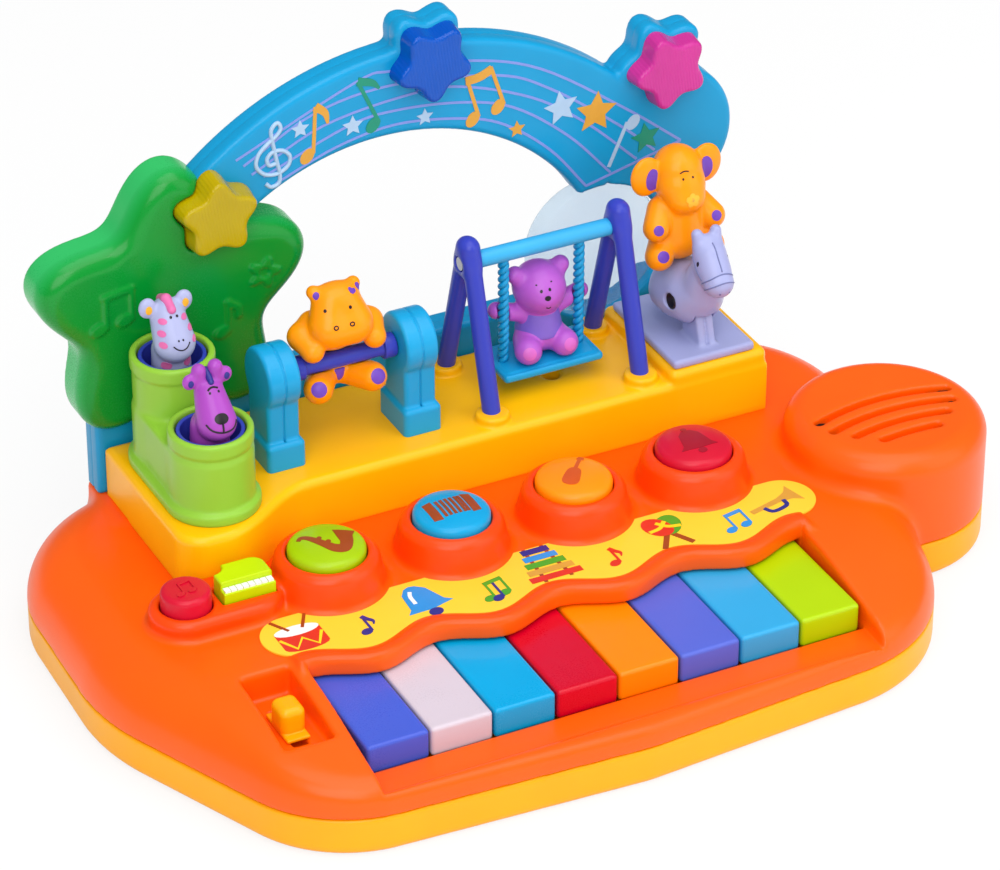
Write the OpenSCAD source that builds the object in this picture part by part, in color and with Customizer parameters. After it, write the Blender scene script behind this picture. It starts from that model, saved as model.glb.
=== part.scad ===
/* [Keyboard] */
// distance from one key to the next
key_pitch = 25; // [24.6:0.1:25.4]
// free gap between two neighbouring keys
key_gap = 0.8; // [0.6:0.1:1.4]
// distance from the hinge line to the front of a key
key_reach = 59; // [57:0.5:60]
// height of a key at its front face
key_height = 12; // [10:0.5:13]
// how far the key tops stand over the front lip
key_show = 10; // [8:0.5:10.5]
// how far the front of a key sinks when pressed
key_travel = 4; // [3:0.25:4.5]
// radius of the steel rod that all keys turn on
axle_radius = 1.5; // [1:0.1:2]

/* [Body] */
// height of the yellow tray up to the parting line
tray_height = 15.8; // [14:0.2:17]
// height of the flat top of the orange shell
shell_height = 39; // [38:0.5:41]
// wall thickness of the tray, shell and deck
wall = 2.5; // [2:0.1:3]
// radius of the rounded shoulder of the shell
shoulder = 22; // [18:0.5:22.5]
// slope of the front flanks of the shell in degrees
front_slope = 12; // [8:0.5:13]
// depth of the front lip from the keys to the front edge
lip_depth = 20; // [18:0.5:22]
// how far the ridge over the keys waves in and out
wave_swing = 3.8; // [2:0.1:5]

/* [Speaker pod] */
// radius of the round pod
pod_radius = 38.9; // [37:0.1:41]
// height of the pod top
pod_height = 54.7; // [52:0.1:60]
// radius of the rounded pod edge
pod_round = 9; // [6:0.5:11]
// width of a sound slot
slot_width = 3.6; // [3:0.1:4.5]

/* [Buttons] */
// radius of the four round buttons
button_radius = 14.6; // [13.5:0.1:15]
// height of the collars over the shell
collar_rise = 14; // [11:0.5:15]
// how far the domes stand over the collars
button_rise = 4.5; // [3.5:0.5:6]
// travel of every push button
button_travel = 2.5; // [2:0.1:3]
// free gap round every push button
button_gap = 0.4; // [0.3:0.05:0.6]
// radius of the small round button
note_radius = 9.4; // [8.5:0.1:9.8]

/* [Play deck] */
// height of the deck over the shell
deck_rise = 22; // [20:0.5:24]
// height of the raised block at the right end of the deck
block_rise = 5; // [4:0.5:7]
// radius of the two tubes
tube_radius = 15.6; // [15.2:0.1:16]
// height of the front tube over the deck
front_tube = 33; // [32:0.5:36]
// height of the rear tube over the deck
rear_tube = 46.5; // [44:0.5:49]
// travel of the pop-up animals
popup_travel = 6; // [4:0.5:7]
// height of the spinner bar over the deck
spinner_rise = 35; // [34.5:0.5:38]
// radius of the spinner bar
spinner_radius = 3.4; // [3:0.1:3.8]
// height of the swing bar over the deck
swing_rise = 58; // [57:0.5:60]
// spread of the swing feet from front to back
swing_spread = 39.5; // [36:0.5:42]
// radius of the swing legs and of the swing bar
swing_tube = 3.4; // [3:0.1:3.7]

/* [Backdrop] */
// thickness of the blue arch panel
arch_depth = 13; // [12:0.5:14]
// outer radius of the arch
arch_outer = 131.9; // [129:0.1:134]
// inner radius of the arch
arch_inner = 95.7; // [94:0.1:99]
// middle radius of the green star
star_radius = 47.7; // [45:0.1:49]
// how far the points of the green star swing in and out
star_swing = 8.3; // [6:0.1:9]
// middle radius of the three star lenses
lens_radius = 14; // [13:0.2:15]
// radius of the pale disc under the arch end
disc_radius = 28; // [26:0.5:29]

/* [Hidden] */
$fn = 64;
figure_fn = 14;
outline_fn = 48;
profile_fn = 32;
far = 400;

// clearances
move_gap = 0.4;
run_gap = 0.05;
bore_gap = 0.02;
press_gap = 0.5;
figure_gap = 0.25;
cut_over = 1;

// keyboard
key_count = 8;
keys_half = key_count / 2 * key_pitch;
key_front = -90;
key_side_gap = 0.8;
key_front_gap = 0.8;
key_nose = 1.2;
lip_z = 22;
key_top = lip_z + key_show;
key_low = key_top - key_height;
hinge_y = key_front + key_reach;
hinge_drop = 7;
hinge_z = key_top - hinge_drop;
hinge_wall = 4;
hinge_neck = 3;
hinge_seat = 6;
well_half = keys_half + key_side_gap;
body_front = key_front - lip_depth;
lip_edge = 4;
lip_edge_rise = 2.4;
wave_middle = -48.4;
ridge_wall = 3;
ridge_gap = 1;
ridge_low = key_top + ridge_gap;
wave_steps = 64;

// outline of the body as circles joined by their outer tangents, counter-clockwise: x, y, radius
corner_front = 49;
corner_right = 60;
corner_rear = 55;
front_bow = 60;
front_bow_out = 5.2;
corner_rear_y = 52;
bulge = 87.5;
bulge_y = 5.3;
front_left_in = 6;
front_right_in = 13;
front_right_back = 1.3;
rear_right_out = 20;
rear_left_out = 12;
bulge_in = 19;
outline = [
    [front_left_in - keys_half, body_front + corner_front, corner_front],
    [0, body_front + front_bow - front_bow_out, front_bow],
    [keys_half - front_right_in, body_front + corner_right + front_right_back, corner_right],
    [keys_half + rear_right_out, corner_rear_y, corner_rear],
    [-keys_half - rear_left_out, corner_rear_y, corner_rear],
    [bulge_in - keys_half, bulge_y, bulge]
];
tray_round = 4;
slope_start = -52;
shelf_left = -124.5;
shelf_right = 123;
shelf_front = 78;
shelf_rear = 106;

// speaker pod
pod_out = 58.1;
pod_x = keys_half + pod_out;
pod_y = -7.7;
slot_pitch = 8.4;
slot_first = 7.2;
slot_bend = 80;
slot_half = [28.2, 26.1, 19.9, 11.8];

// buttons
button_count = 4;
button_pitch = 50.7;
button_shift = 3.6;
button_y = 1.4;
collar_top = shell_height + collar_rise;
collar_base = 7.4;
collar_lip = 4.4;
collar_foot = button_radius + collar_base;
collar_head = button_radius + collar_lip;
collar_round = 3;
flange_lift = 2;
flange_low = shell_height + flange_lift;
flange_thick = 2;
flange_out = 2;
flange_top = flange_low + flange_thick;
button_skirt = 2.4;
small_y = 1;
note_out = 56.1;
piano_out = 33.3;
note_x = button_x(0) - note_out;
piano_x = button_x(0) - piano_out;
small_pod_radius = 14;
small_pod_rise = 7.7;
small_top = shell_height + small_pod_rise;
small_rise = 6.6;
piano_long = 20.4;
piano_deep = 12;
piano_corner = 4.5;
piano_steps = 8;
small_flange = 1;
switch_out = 16.5;
switch_x = -keys_half - switch_out;
switch_wide = 19;
switch_rear = -40;
switch_front = -79;
switch_floor = 27;
knob_wide = 10;
knob_long = 12;
knob_high = 10;
knob_round = 4.5;
knob_y = -60;
knob_travel = 8;
stem_wide = 5;
stem_long = 6;
stem_foot = 1.5;

// play deck
deck_z = shell_height + deck_rise;
deck_left = -122;
deck_right = 130;
deck_front = 34;
deck_rear = 91.5;
bay_front = 15.5;
bay_right = -104;
bay_end = -64;
bay_corner = 11;
bay_steps = 16;
block_left = 88;
block_z = deck_z + block_rise;
pad_rise = 2;
pad_half = 6;
pad_inset = 4;
hatch_x = 50.6;
hatch_y = 62;
hatch_radius = 3.4;

// pop-up tubes
tube_x = -101;
tube_front_y = 38.2;
tube_rear_y = 72;
tube_wall = 2.4;
tube_foot = 2.4;
tube_foot_rise = 4.5;
tube_band = 0.5;
tube_band_rise = 6;
tube_web_drop = 8;
tube_seat = 0.3;
tube_bore = tube_radius - tube_wall;
cup_gap = 0.5;
cup_wall = 1.6;
cup_height = 20;
cup_floor = 2.5;
cup_sink = 1.2;
cup_radius = tube_bore - cup_gap;
spring_room = 2.5;
spring_length = popup_travel + spring_room;
spring_radius = 8;
spring_wall = 1.2;
spring_gap = 0.3;
front_rim = deck_z + front_tube;
rear_rim = deck_z + rear_tube;

// spinner
spinner_x = -39.5;
spinner_y = 57;
spinner_z = deck_z + spinner_rise;
spinner_half = 21.5;
post_thick = 13;
post_deep = 18;
post_head = 12.2;
foot_long = 15.5;
foot_deep = 23;
foot_high = 11;
peg_radius = 2.4;
peg_long = 4;
bar_collar = 1.4;
bar_collar_long = 5;
bar_pin = 2.2;
bar_pin_long = 8;

// swing
swing_left = 16;
swing_right = 79.3;
swing_y = 63.3;
swing_z = deck_z + swing_rise;
swing_foot_z = deck_z + pad_rise;
apex_rise = 6;
apex_z = swing_z + apex_rise;
leg_tilt = atan2(swing_spread / 2, apex_z - swing_foot_z);
leg_long = norm([swing_spread / 2, apex_z - swing_foot_z]);
hub_radius = 6;
hub_half = 3;
hub_web = 20;
swing_pin = 1.6;
swing_pin_grip = 9;
pin_head = 2.6;
pin_head_long = 1.2;
pin_seat = 2;
bar_inset = swing_tube + move_gap;
hang_x = 46.8;
rope_half = 16;
rope_radius = 2.3;
seat_half = 21;
seat_deep = 24;
seat_thick = 3.5;
seat_rise = 11;
seat_top = deck_z + seat_rise;

// rocker
rocker_x = 107.5;
rocker_y = 52;
rocker_rise = 17;
plate_front = 35.5;
plate_rear = 87;
plate_half = 17.5;
plate_thick = 3.5;
plate_top = block_z + plate_thick;
rocker_z = plate_top + rocker_rise;
stand_half = 3.6;
stand_front = 12;
stand_rear = 3;
stand_head = 5.5;
stand_gap = 0.7;
rocker_sweep = 9;
rocker_pin = 2;
rocker_pin_half = 7;
rocker_hole = 3.2;

// backdrop
arch_x = -3;
arch_z = 66.8;
arch_top_x = 7.8;
arch_top_z = 65.3;
arch_front_y = 92;
arch_split_y = arch_front_y + arch_depth / 2;
arch_rear_y = arch_front_y + arch_depth;
arch_start = 29;
arch_end = 152;
arch_fan = 5;
lobe_x = 115.4;
lobe_z = 134;
lobe_radius = 29;
lobe_tip_x = 98;
lobe_tip_z = 111.5;
rail_left = -124.5;
rail_right = 122;
rail_top = 73.6;
column_left = -122;
column_right = -80;
column_top = 136;
disc_x = 87;
disc_z = 90.5;
disc_front_y = 94;
disc_depth = 9;
star_x = -91.5;
star_z = 113.6;
star_front_y = 88;
star_back = 2;
star_turn = 88.5;
star_steps = 80;
star_dish = 2;
star_rim = 6;
lens_swing = 2.6;
lens_steps = 60;
lens_depth = 8;
lens_deep = 11;
lens_bump = 2.4;
lens_yellow_at = [-75.5, 150.5, 90];
lens_blue_at = [13.8, 192, -92];
lens_pink_at = [113.8, 165.2, -104];
lamp_radius = 2.5;
lamp_tail = 4;
lamp_nose = 3;
lamp_room = 4.5;
lamp_room_deep = 5;

// electrics
board_z = 8;
board_thick = 1.6;
board_inset = 5;
board_half = keys_half - board_inset;
board_front = -82;
board_rear = -42;
standoff = 3;
standoff_in = 6;
dome_radius = 4;
pad_y = -60;
pad_deep = 12;
pad_thick = 1.5;
button_board_z = 30;
button_board_top = button_board_z + board_thick;
button_board_left = -137;
button_board_right = 101;
button_board_deep = 22;
speaker_rim = 30;
speaker_rim_thick = 3;
speaker_deep = 19;
speaker_magnet = 14;
speaker_magnet_high = 8;
speaker_cone = 8;
cell_radius = 7.1;
cell_long = 50.5;
cell_count = 3;
cell_pitch = 15;
cell_low = 3.2;
cell_room = 0.9;
cell_over = 2.1;
contact_room = 5.75;
box_y = 56;
box_wall = 2;
box_half = cell_long / 2 + contact_room + box_wall;
box_deep = (cell_count - 1) * cell_pitch + 2 * (cell_radius + cell_room + box_wall);
box_high = cell_low - wall + 2 * cell_radius + cell_over + box_wall;
door_gap = 0.4;
door_thick = 2;
door_sink = 0.4;

// case screws
post_radius = 4;
joint_z = 20;
screw_radius = 1.2;
screw_head = 2.6;
screw_head_long = 2;
screw_sink = 0.6;
screw_top = 25;
pilot_top = 26;
screw_gap = 0.2;
screws = [[-150, 20], [-113, -88], [112, -82], [140, 66], [-140, 72], [5, 20]];

// label
label_thick = 0.6;
label_round = 12.5;
label_y = -25.5;
label_left_out = 10.5;
label_right_out = 16;
label_left = -keys_half - label_left_out;
label_right = keys_half + label_right_out;
label_back = 7.5;
label_gap = 1.2;
label_steps = 50;

// animal figures as pairs of balls joined by a skin: x, y, z, radius
zebra_balls = [
    [[0, 0, 7.8, 7.6], [0, 0, 16, 7.8]],
    [[-1, -1.5, 24, 8.8], [-1, 0.5, 36, 7.4]],
    [[-1, -3.4, 20, 7.6], [-1, -2, 26, 8.2]],
    [[-5, 1, 37.5, 2.8], [-9, 1.5, 41, 3.4]],
    [[3, 1, 37.5, 2.8], [7, 1.5, 41, 3.4]],
    [[-1, -0.5, 42.4, 2.4], [-1, 4.5, 38, 2.6]],
    [[-4, -4.2, 19, 5], [-4, -2, 24, 5]],
    [[2, -4.2, 19, 5], [2, -2, 24, 5]]
];
giraffe_balls = [
    [[0, 1, 7.8, 7.6], [0, 1, 20, 7.8]],
    [[-0.5, 0.5, 24, 8], [-0.5, 1.5, 33, 7]],
    [[-0.5, -5.2, 24.5, 7], [-0.5, -2, 27, 7.6]],
    [[-6, 1.5, 36, 2.4], [-9, 1.5, 41, 3.2]],
    [[5, 1.5, 36, 2.4], [8, 1.5, 41, 3.2]],
    [[-3.5, 1, 38, 2.4], [-4, 1, 45, 3]],
    [[2.5, 1, 38, 2.4], [3, 1, 45, 3]],
    [[-4, -4.4, 22, 4.8], [-4, -2, 26, 4.8]],
    [[3, -4.4, 22, 4.8], [3, -2, 26, 4.8]]
];
hippo_balls = [
    [[-4, 1, 23.2, 8.2], [1, 1, 23.2, 8.2]],
    [[-6, -4, 15, 7], [3, -4, 15, 7]],
    [[-9.3, 1.5, 28.9, 2.7], [-7.5, 1, 26.5, 3]],
    [[6.3, 1.5, 28.9, 2.7], [4.5, 1, 26.5, 3]],
    [[-1.5, 8, 10, 8.6], [-1.5, 9.5, -6, 8.4]],
    [[-10.5, 2, 11.5, 5.4], [-13.2, -4, 6.8, 4.3]],
    [[7.5, 2, 11.5, 5.4], [10.2, -4, 6.8, 4.3]],
    [[-7.5, 5, -9, 5.8], [-12.4, -7.5, -6, 5.4]],
    [[4.5, 5, -9, 5.8], [9.4, -7.5, -6, 5.4]]
];
bear_balls = [
    [[0, -2, 31.5, 10.8], [0, -3.4, 30.4, 10.8]],
    [[0, -10.4, 27.4, 4.6], [0, -8.5, 28, 6]],
    [[-9.2, -1, 38.8, 3.7], [-7, -1, 36, 4]],
    [[9.2, -1, 38.8, 3.7], [7, -1, 36, 4]],
    [[0, 1, 9, 8.9], [0, 0, 18, 7.4]],
    [[-6.5, 2, 19, 3.6], [-17.8, 2.6, 23, 3.3]],
    [[6.5, 2, 19, 3.6], [17.8, 2.6, 23, 3.3]],
    [[-5.5, -1, 5.6, 5.4], [-8, -9.5, 7, 5.2]],
    [[5.5, -1, 5.6, 5.4], [8, -9.5, 7, 5.2]]
];
donkey_balls = [
    [[0, 2, 0, 12], [0, 12, -1, 11.5]],
    [[0, -4, 4, 9.5], [0, -11, 17, 7.5]],
    [[0, -12, 22, 8.2], [0, -17, 16.5, 7]],
    [[0, -17, 16, 6.8], [0, -20, 12.5, 6.2]],
    [[-3.4, -9.5, 29, 2.4], [-3.8, -8, 35, 2.2]],
    [[3.4, -9.5, 29, 2.4], [3.8, -8, 35, 2.2]],
    [[0, 22, 2, 2.5], [0, 25, -4, 2.2]],
    [[-5, 12, -3, 7.6], [-5, 7, -3, 7.6]],
    [[5, 12, -3, 7.6], [5, 7, -3, 7.6]]
];
elephant_balls = [
    [[0, 11, 22.2, 10.8], [0, 10, 31, 8.5]],
    [[0, 10, 46, 11.5], [0, 8, 45, 11.5]],
    [[-13.6, 12, 46.5, 4.8], [-14.2, 12, 41, 5.2]],
    [[13.6, 12, 46.5, 4.8], [14.2, 12, 41, 5.2]],
    [[0, 0, 42, 5.4], [0, -3.5, 39.5, 5]],
    [[-8, 7, 32, 4.6], [-12, 2, 28.5, 4.3]],
    [[8, 7, 32, 4.6], [12, 2, 28.5, 4.3]],
    [[-7, 6, 21, 5], [-11.6, 0, 17, 5.2]],
    [[7, 6, 21, 5], [11.6, 0, 17, 5.2]]
];

// colours
yellow = [1, 0.74, 0.02];
orange = [1, 0.36, 0];
amber = [1, 0.62, 0.03];
sky = [0, 0.6, 0.9];
teal = [0.03, 0.62, 0.82];
green = [0.05, 0.6, 0.1];
lime = [0.68, 0.85, 0.1];
violet = [0.3, 0.33, 0.85];
cyan = [0.1, 0.68, 0.93];
red = [0.88, 0.02, 0.2];
pale = [0.9, 0.86, 0.92];
lavender = [0.72, 0.72, 0.86];
magenta = [0.75, 0.33, 0.78];
steel = [0.7, 0.7, 0.72];
dark = [0.12, 0.12, 0.13];
board_green = [0.05, 0.35, 0.15];

function toward(angle, reach) = [reach * cos(angle), reach * sin(angle)];
function wave(x) = wave_middle - wave_swing * cos(180 * (x - key_pitch) / key_pitch);
function wave_point(i, back) =
    let (x = well_half - i * 2 * well_half / wave_steps) [x, wave(x) + back];
function ease(t) = t * t * (3 - 2 * t);
function key_x(i) = (i - (key_count - 1) / 2) * key_pitch;
function button_x(i) = (i - (button_count - 1) / 2) * button_pitch + button_shift;
function cup_low(rim) = rim - cup_sink - cup_height;
function tube_floor(rim) = cup_low(rim) - spring_length;

// side profile of a rounded edge, from an inner line to the outer face
module edge_profile(inner, outer, low, high, top_round, low_round) {
    $fn = profile_fn;
    keep = min(top_round, high - low - top_round) / 2;
    translate([inner, low])
        square([outer - max(top_round, low_round) - inner, high - low]);
    translate([inner, low + low_round])
        square([outer - inner, high - low - top_round - low_round]);
    if (top_round > 0)
        intersection() {
            translate([outer - top_round, high - top_round])
                circle(top_round);
            translate([inner, high - top_round - keep])
                square([outer - inner + cut_over, top_round + keep + cut_over]);
        }
    if (low_round > 0)
        translate([outer - low_round, low + low_round])
            circle(low_round);
}

// solid of the body's outline with rounded edges
module outline_solid(inset, low, high, top_round, low_round) {
    $fn = outline_fn;
    hull()
        for (c = outline)
            translate([c[0], c[1], 0])
                rotate_extrude()
                    edge_profile(0, c[2] - inset, low, high, top_round, low_round);
}

// plate standing upright: the plan's second axis points up, y_front is its front face
module upright(y_front, depth) {
    translate([0, y_front + depth, 0])
        rotate([90, 0, 0])
            linear_extrude(depth)
                children();
}

// plate lying across the toy: the plan runs back and up, x_low is its left face
module across(x_low, wide) {
    translate([x_low, 0, 0])
        rotate([90, 0, 90])
            linear_extrude(wide)
                children();
}

// round bar along the keyboard
module cross_bar(x_low, x_high, y, z, radius) {
    translate([x_low, y, z])
        rotate([0, 90, 0])
            cylinder(h = x_high - x_low, r = radius);
}

module box(low, high) {
    translate(low)
        cube(high - low);
}

module figure(balls, at) {
    $fn = figure_fn;
    translate(at)
        for (pair = balls)
            hull()
                for (ball = pair)
                    translate([ball[0], ball[1], ball[2]])
                        sphere(ball[3]);
}

module star_plan(at, middle, swing, steps) {
    polygon([
        for (i = [0 : steps - 1])
            let (a = i * 360 / steps)
            [at[0], at[1]] + toward(a, middle + swing * cos(5 * (a - at[2])))
    ]);
}

// body

module tray_form(inset, low, low_round) {
    outline_solid(inset, low, tray_height + inset, 0, low_round);
    translate([pod_x, pod_y, 0])
        rotate_extrude()
            edge_profile(0, pod_radius - inset, low, tray_height + inset, 0, low_round);
}

module base_tray() {
    color(yellow)
        difference() {
            union() {
                difference() {
                    tray_form(0, 0, tray_round);
                    tray_form(wall, wall, 0);
                }
                for (s = screws)
                    translate(s)
                        cylinder(h = joint_z, r = post_radius);
                for (x = [standoff_in - board_half, board_half - standoff_in])
                    for (y = [board_front + standoff_in, board_rear - standoff_in])
                        translate([x, y, 0])
                            cylinder(h = board_z, r = standoff);
            }
            for (s = screws)
                translate([s[0], s[1], -cut_over]) {
                    cylinder(h = joint_z + 2 * cut_over, r = screw_radius + screw_gap);
                    cylinder(h = cut_over + screw_sink + screw_head_long, r = screw_head + screw_gap);
                }
            box(
                [box_wall - box_half, box_y - box_deep / 2 + box_wall, -cut_over],
                [box_half - box_wall, box_y + box_deep / 2 - box_wall, wall + cut_over]
            );
        }
}

module shell_form(inset) {
    difference() {
        outline_solid(inset, tray_height - inset, shell_height - inset, shoulder - inset, 0);
        translate([0, slope_start, shell_height - inset / cos(front_slope)])
            rotate([front_slope, 0, 0])
                box([-far, -far, 0], [far, 0, far]);
    }
}

module pod_form(inset) {
    translate([pod_x, pod_y, 0])
        rotate_extrude()
            edge_profile(
                0, pod_radius - inset, tray_height - inset, pod_height - inset, pod_round - inset, 0
            );
}

module shelf_form(inset) {
    box(
        [shelf_left + inset, shelf_front - inset, tray_height - inset],
        [shelf_right - inset, shelf_rear - inset, shell_height - inset]
    );
}

module collar(x) {
    translate([x, button_y, 0])
        rotate_extrude() {
            polygon([
                [0, shell_height - wall],
                [collar_foot, shell_height - wall],
                [collar_foot, shell_height],
                [collar_head, collar_top - collar_round],
                [0, collar_top - collar_round]
            ]);
            edge_profile(0, collar_head, shell_height, collar_top, collar_round, 0);
        }
}

module small_pod() {
    translate([0, small_y, shell_height - wall])
        linear_extrude(small_pod_rise + wall) {
            translate([note_x, 0])
                circle(small_pod_radius);
            translate([note_x, -small_pod_radius])
                square([piano_x - note_x, 2 * small_pod_radius]);
            translate([piano_x, 0])
                circle(small_pod_radius);
        }
}

// plan of a tiny grand piano, grown all round by a margin
module piano_plan(grow) {
    half = piano_long / 2 + grow;
    reach = piano_deep / 2 + grow;
    outer = piano_corner + grow;
    inner = piano_corner - grow;
    polygon(concat(
        [[-half, -reach], [half, -reach]],
        [for (i = [0 : piano_steps]) [half - outer, reach - outer] + toward(i * 90 / piano_steps, outer)],
        [for (i = [0 : piano_steps]) [-half, reach] + toward(-i * 90 / piano_steps, inner)]
    ));
}

module ridge_plan(rear) {
    polygon(concat(
        [for (i = [0 : wave_steps]) wave_point(i, 0)],
        [for (i = [wave_steps : -1 : 0]) wave_point(i, rear)]
    ));
}

module well_plan(front) {
    polygon(concat(
        [[-well_half, front], [well_half, front]],
        [for (i = [0 : wave_steps]) wave_point(i, 0)]
    ));
}

// walls inside the shell: key well, switch well and screw bosses
module shell_ribs() {
    for (x = [-well_half - wall, well_half])
        box([x, -far, lip_z - wall], [x + wall, hinge_y + hinge_seat, far]);
    box([-well_half, -far, lip_z - wall], [well_half, key_front - key_front_gap, far]);
    translate([0, 0, ridge_low])
        linear_extrude(shell_height)
            ridge_plan(ridge_wall);
    box(
        [switch_x - switch_wide / 2 - wall, switch_front - wall, switch_floor - wall],
        [switch_x + switch_wide / 2 + wall, switch_rear + wall, far]
    );
    for (s = screws)
        translate([s[0], s[1], joint_z])
            cylinder(h = far, r = post_radius);
    for (i = [0 : button_count - 2])
        translate([(button_x(i) + button_x(i + 1)) / 2, button_y, button_board_top])
            cylinder(h = far, r = standoff);
}

module sound_slots() {
    for (i = [0 : len(slot_half) - 1])
        let (half = asin(slot_half[i] / slot_bend))
            translate([pod_x, pod_y + slot_first - i * slot_pitch, pod_height - 2 * wall])
                translate([0, -slot_bend, 0])
                    rotate(90 - half)
                        rotate_extrude(angle = 2 * half)
                            translate([slot_bend - slot_width / 2, 0])
                                square([slot_width, far]);
}

module top_shell() {
    color(orange)
        difference() {
            union() {
                difference() {
                    union() {
                        shell_form(0);
                        pod_form(0);
                        shelf_form(0);
                    }
                    shell_form(wall);
                    pod_form(wall);
                    shelf_form(wall);
                }
                for (i = [0 : button_count - 1])
                    collar(button_x(i));
                small_pod();
                intersection() {
                    shell_form(wall / 2);
                    shell_ribs();
                }
            }
            translate([0, 0, lip_z + lip_edge_rise])
                linear_extrude(far)
                    well_plan(-far);
            translate([0, 0, lip_z])
                linear_extrude(far)
                    well_plan(body_front + lip_edge);
            for (i = [0 : button_count - 1])
                translate([button_x(i), button_y, 0]) {
                    cylinder(h = far, r = button_radius + button_gap);
                    cylinder(h = flange_top + move_gap, r = button_radius + flange_out + button_gap);
                }
            translate([note_x, small_y, 0]) {
                cylinder(h = far, r = note_radius + button_gap);
                cylinder(h = flange_top + move_gap, r = note_radius + small_flange + button_gap);
            }
            translate([piano_x, small_y, 0]) {
                linear_extrude(far)
                    piano_plan(button_gap);
                linear_extrude(flange_top + move_gap)
                    piano_plan(small_flange + button_gap);
            }
            box(
                [switch_x - switch_wide / 2, switch_front, switch_floor],
                [switch_x + switch_wide / 2, switch_rear, far]
            );
            box(
                [switch_x - stem_wide / 2 - move_gap, knob_y - stem_long / 2 - knob_travel - move_gap, 0],
                [switch_x + stem_wide / 2 + move_gap, knob_y + stem_long / 2 + knob_travel + move_gap, far]
            );
            sound_slots();
            cross_bar(
                -well_half - wall - cut_over, well_half + wall + cut_over,
                hinge_y, hinge_z, axle_radius + bore_gap
            );
            for (s = screws)
                translate(s)
                    cylinder(h = pilot_top, r = screw_radius + bore_gap);
        }
}

module label_strip() {
    x_low = label_left + label_round;
    x_high = label_right - label_round;
    color(amber)
        translate([0, 0, shell_height])
            linear_extrude(label_thick)
                difference() {
                    union() {
                        polygon(concat(
                            [for (i = [0 : label_steps])
                                let (x = x_low + i * (x_high - x_low) / label_steps)
                                [x, wave(x) + label_back]],
                            [[x_high, label_y + label_round], [x_low, label_y + label_round]]
                        ));
                        translate([x_low, label_y])
                            circle(label_round);
                        translate([x_high, label_y])
                            circle(label_round);
                    }
                    for (i = [0 : button_count - 1])
                        translate([button_x(i), button_y])
                            circle(collar_foot + label_gap);
                    translate([pod_x, pod_y])
                        circle(pod_radius + label_gap);
                }
}

// keys and buttons

module key(i, tint) {
    left = key_x(i) - (key_pitch - key_gap) / 2;
    wide = key_pitch - key_gap;
    color(tint)
        difference() {
            union() {
                across(left, wide)
                    polygon([
                        [key_front, key_low],
                        [key_front, key_top - key_nose],
                        [key_front + key_nose, key_top],
                        [hinge_y - hinge_drop, key_top],
                        [hinge_y, hinge_z + hinge_neck],
                        [hinge_y, hinge_z - hinge_neck],
                        [hinge_y - hinge_drop, key_low]
                    ]);
                cross_bar(left, left + wide, hinge_y, hinge_z, hinge_wall);
            }
            cross_bar(-far, far, hinge_y, hinge_z, axle_radius + run_gap);
        }
}

module key_1() {
    key(0, violet);
}

module key_2() {
    key(1, pale);
}

module key_3() {
    key(2, cyan);
}

module key_4() {
    key(3, red);
}

module key_5() {
    key(4, amber);
}

module key_6() {
    key(5, violet);
}

module key_7() {
    key(6, cyan);
}

module key_8() {
    key(7, lime);
}

module key_axle() {
    color(steel)
        cross_bar(-well_half - wall, well_half + wall, hinge_y, hinge_z, axle_radius);
}

module round_button(x, y, radius, rim, rise, flange, tint) {
    dome = rise - button_skirt;
    ball = (radius * radius + dome * dome) / (2 * dome);
    color(tint)
        translate([x, y, 0])
            rotate_extrude() {
                translate([0, flange_low])
                    square([radius, rim + button_skirt - flange_low]);
                translate([0, flange_low])
                    square([radius + flange, flange_thick]);
                intersection() {
                    translate([0, rim + rise - ball])
                        circle(ball);
                    translate([0, rim])
                        square([radius, rise]);
                }
            }
}

module sax_button() {
    round_button(button_x(0), button_y, button_radius, collar_top, button_rise, flange_out, lime);
}

module accordion_button() {
    round_button(button_x(1), button_y, button_radius, collar_top, button_rise, flange_out, cyan);
}

module guitar_button() {
    round_button(button_x(2), button_y, button_radius, collar_top, button_rise, flange_out, amber);
}

module drum_button() {
    round_button(button_x(3), button_y, button_radius, collar_top, button_rise, flange_out, red);
}

module note_button() {
    round_button(note_x, small_y, note_radius, small_top, small_rise, small_flange, red);
}

module piano_button() {
    color(lime)
        translate([piano_x, small_y, flange_low]) {
            linear_extrude(small_top + small_rise - flange_low)
                piano_plan(0);
            linear_extrude(flange_thick)
                piano_plan(small_flange);
        }
}

module switch_knob() {
    knob_low = switch_floor + move_gap;
    foot_top = switch_floor - wall - move_gap;
    color(amber) {
        across(switch_x - knob_wide / 2, knob_wide) {
            translate([knob_y - knob_long / 2, knob_low])
                square([knob_long, knob_high - knob_round]);
            translate([knob_y - knob_long / 2 + knob_round, knob_low])
                square([knob_long - 2 * knob_round, knob_high]);
            for (s = [-1, 1])
                translate([knob_y + s * (knob_long / 2 - knob_round), knob_low + knob_high - knob_round])
                    circle(knob_round);
        }
        box(
            [switch_x - stem_wide / 2, knob_y - stem_long / 2, foot_top - stem_foot],
            [switch_x + stem_wide / 2, knob_y + stem_long / 2, knob_low + stem_foot]
        );
        box(
            [switch_x - knob_wide / 2, knob_y - stem_long / 2, foot_top - stem_foot],
            [switch_x + knob_wide / 2, knob_y + stem_long / 2, foot_top]
        );
    }
}

// play deck

module deck_plan(inset) {
    left = deck_left + inset;
    corner = bay_corner - inset;
    polygon(concat(
        [[left, deck_rear - inset], [left, bay_front + bay_corner]],
        [[deck_left + bay_corner, bay_front + inset]],
        [for (i = [0 : bay_steps])
            let (t = i / bay_steps)
            [bay_right + t * (bay_end - bay_right), bay_front + inset + ease(t) * (deck_front - bay_front)]],
        [[deck_right - inset, deck_front + inset], [deck_right - inset, deck_rear - inset]]
    ));
    translate([deck_left + bay_corner, bay_front + bay_corner])
        circle(corner);
}

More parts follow.
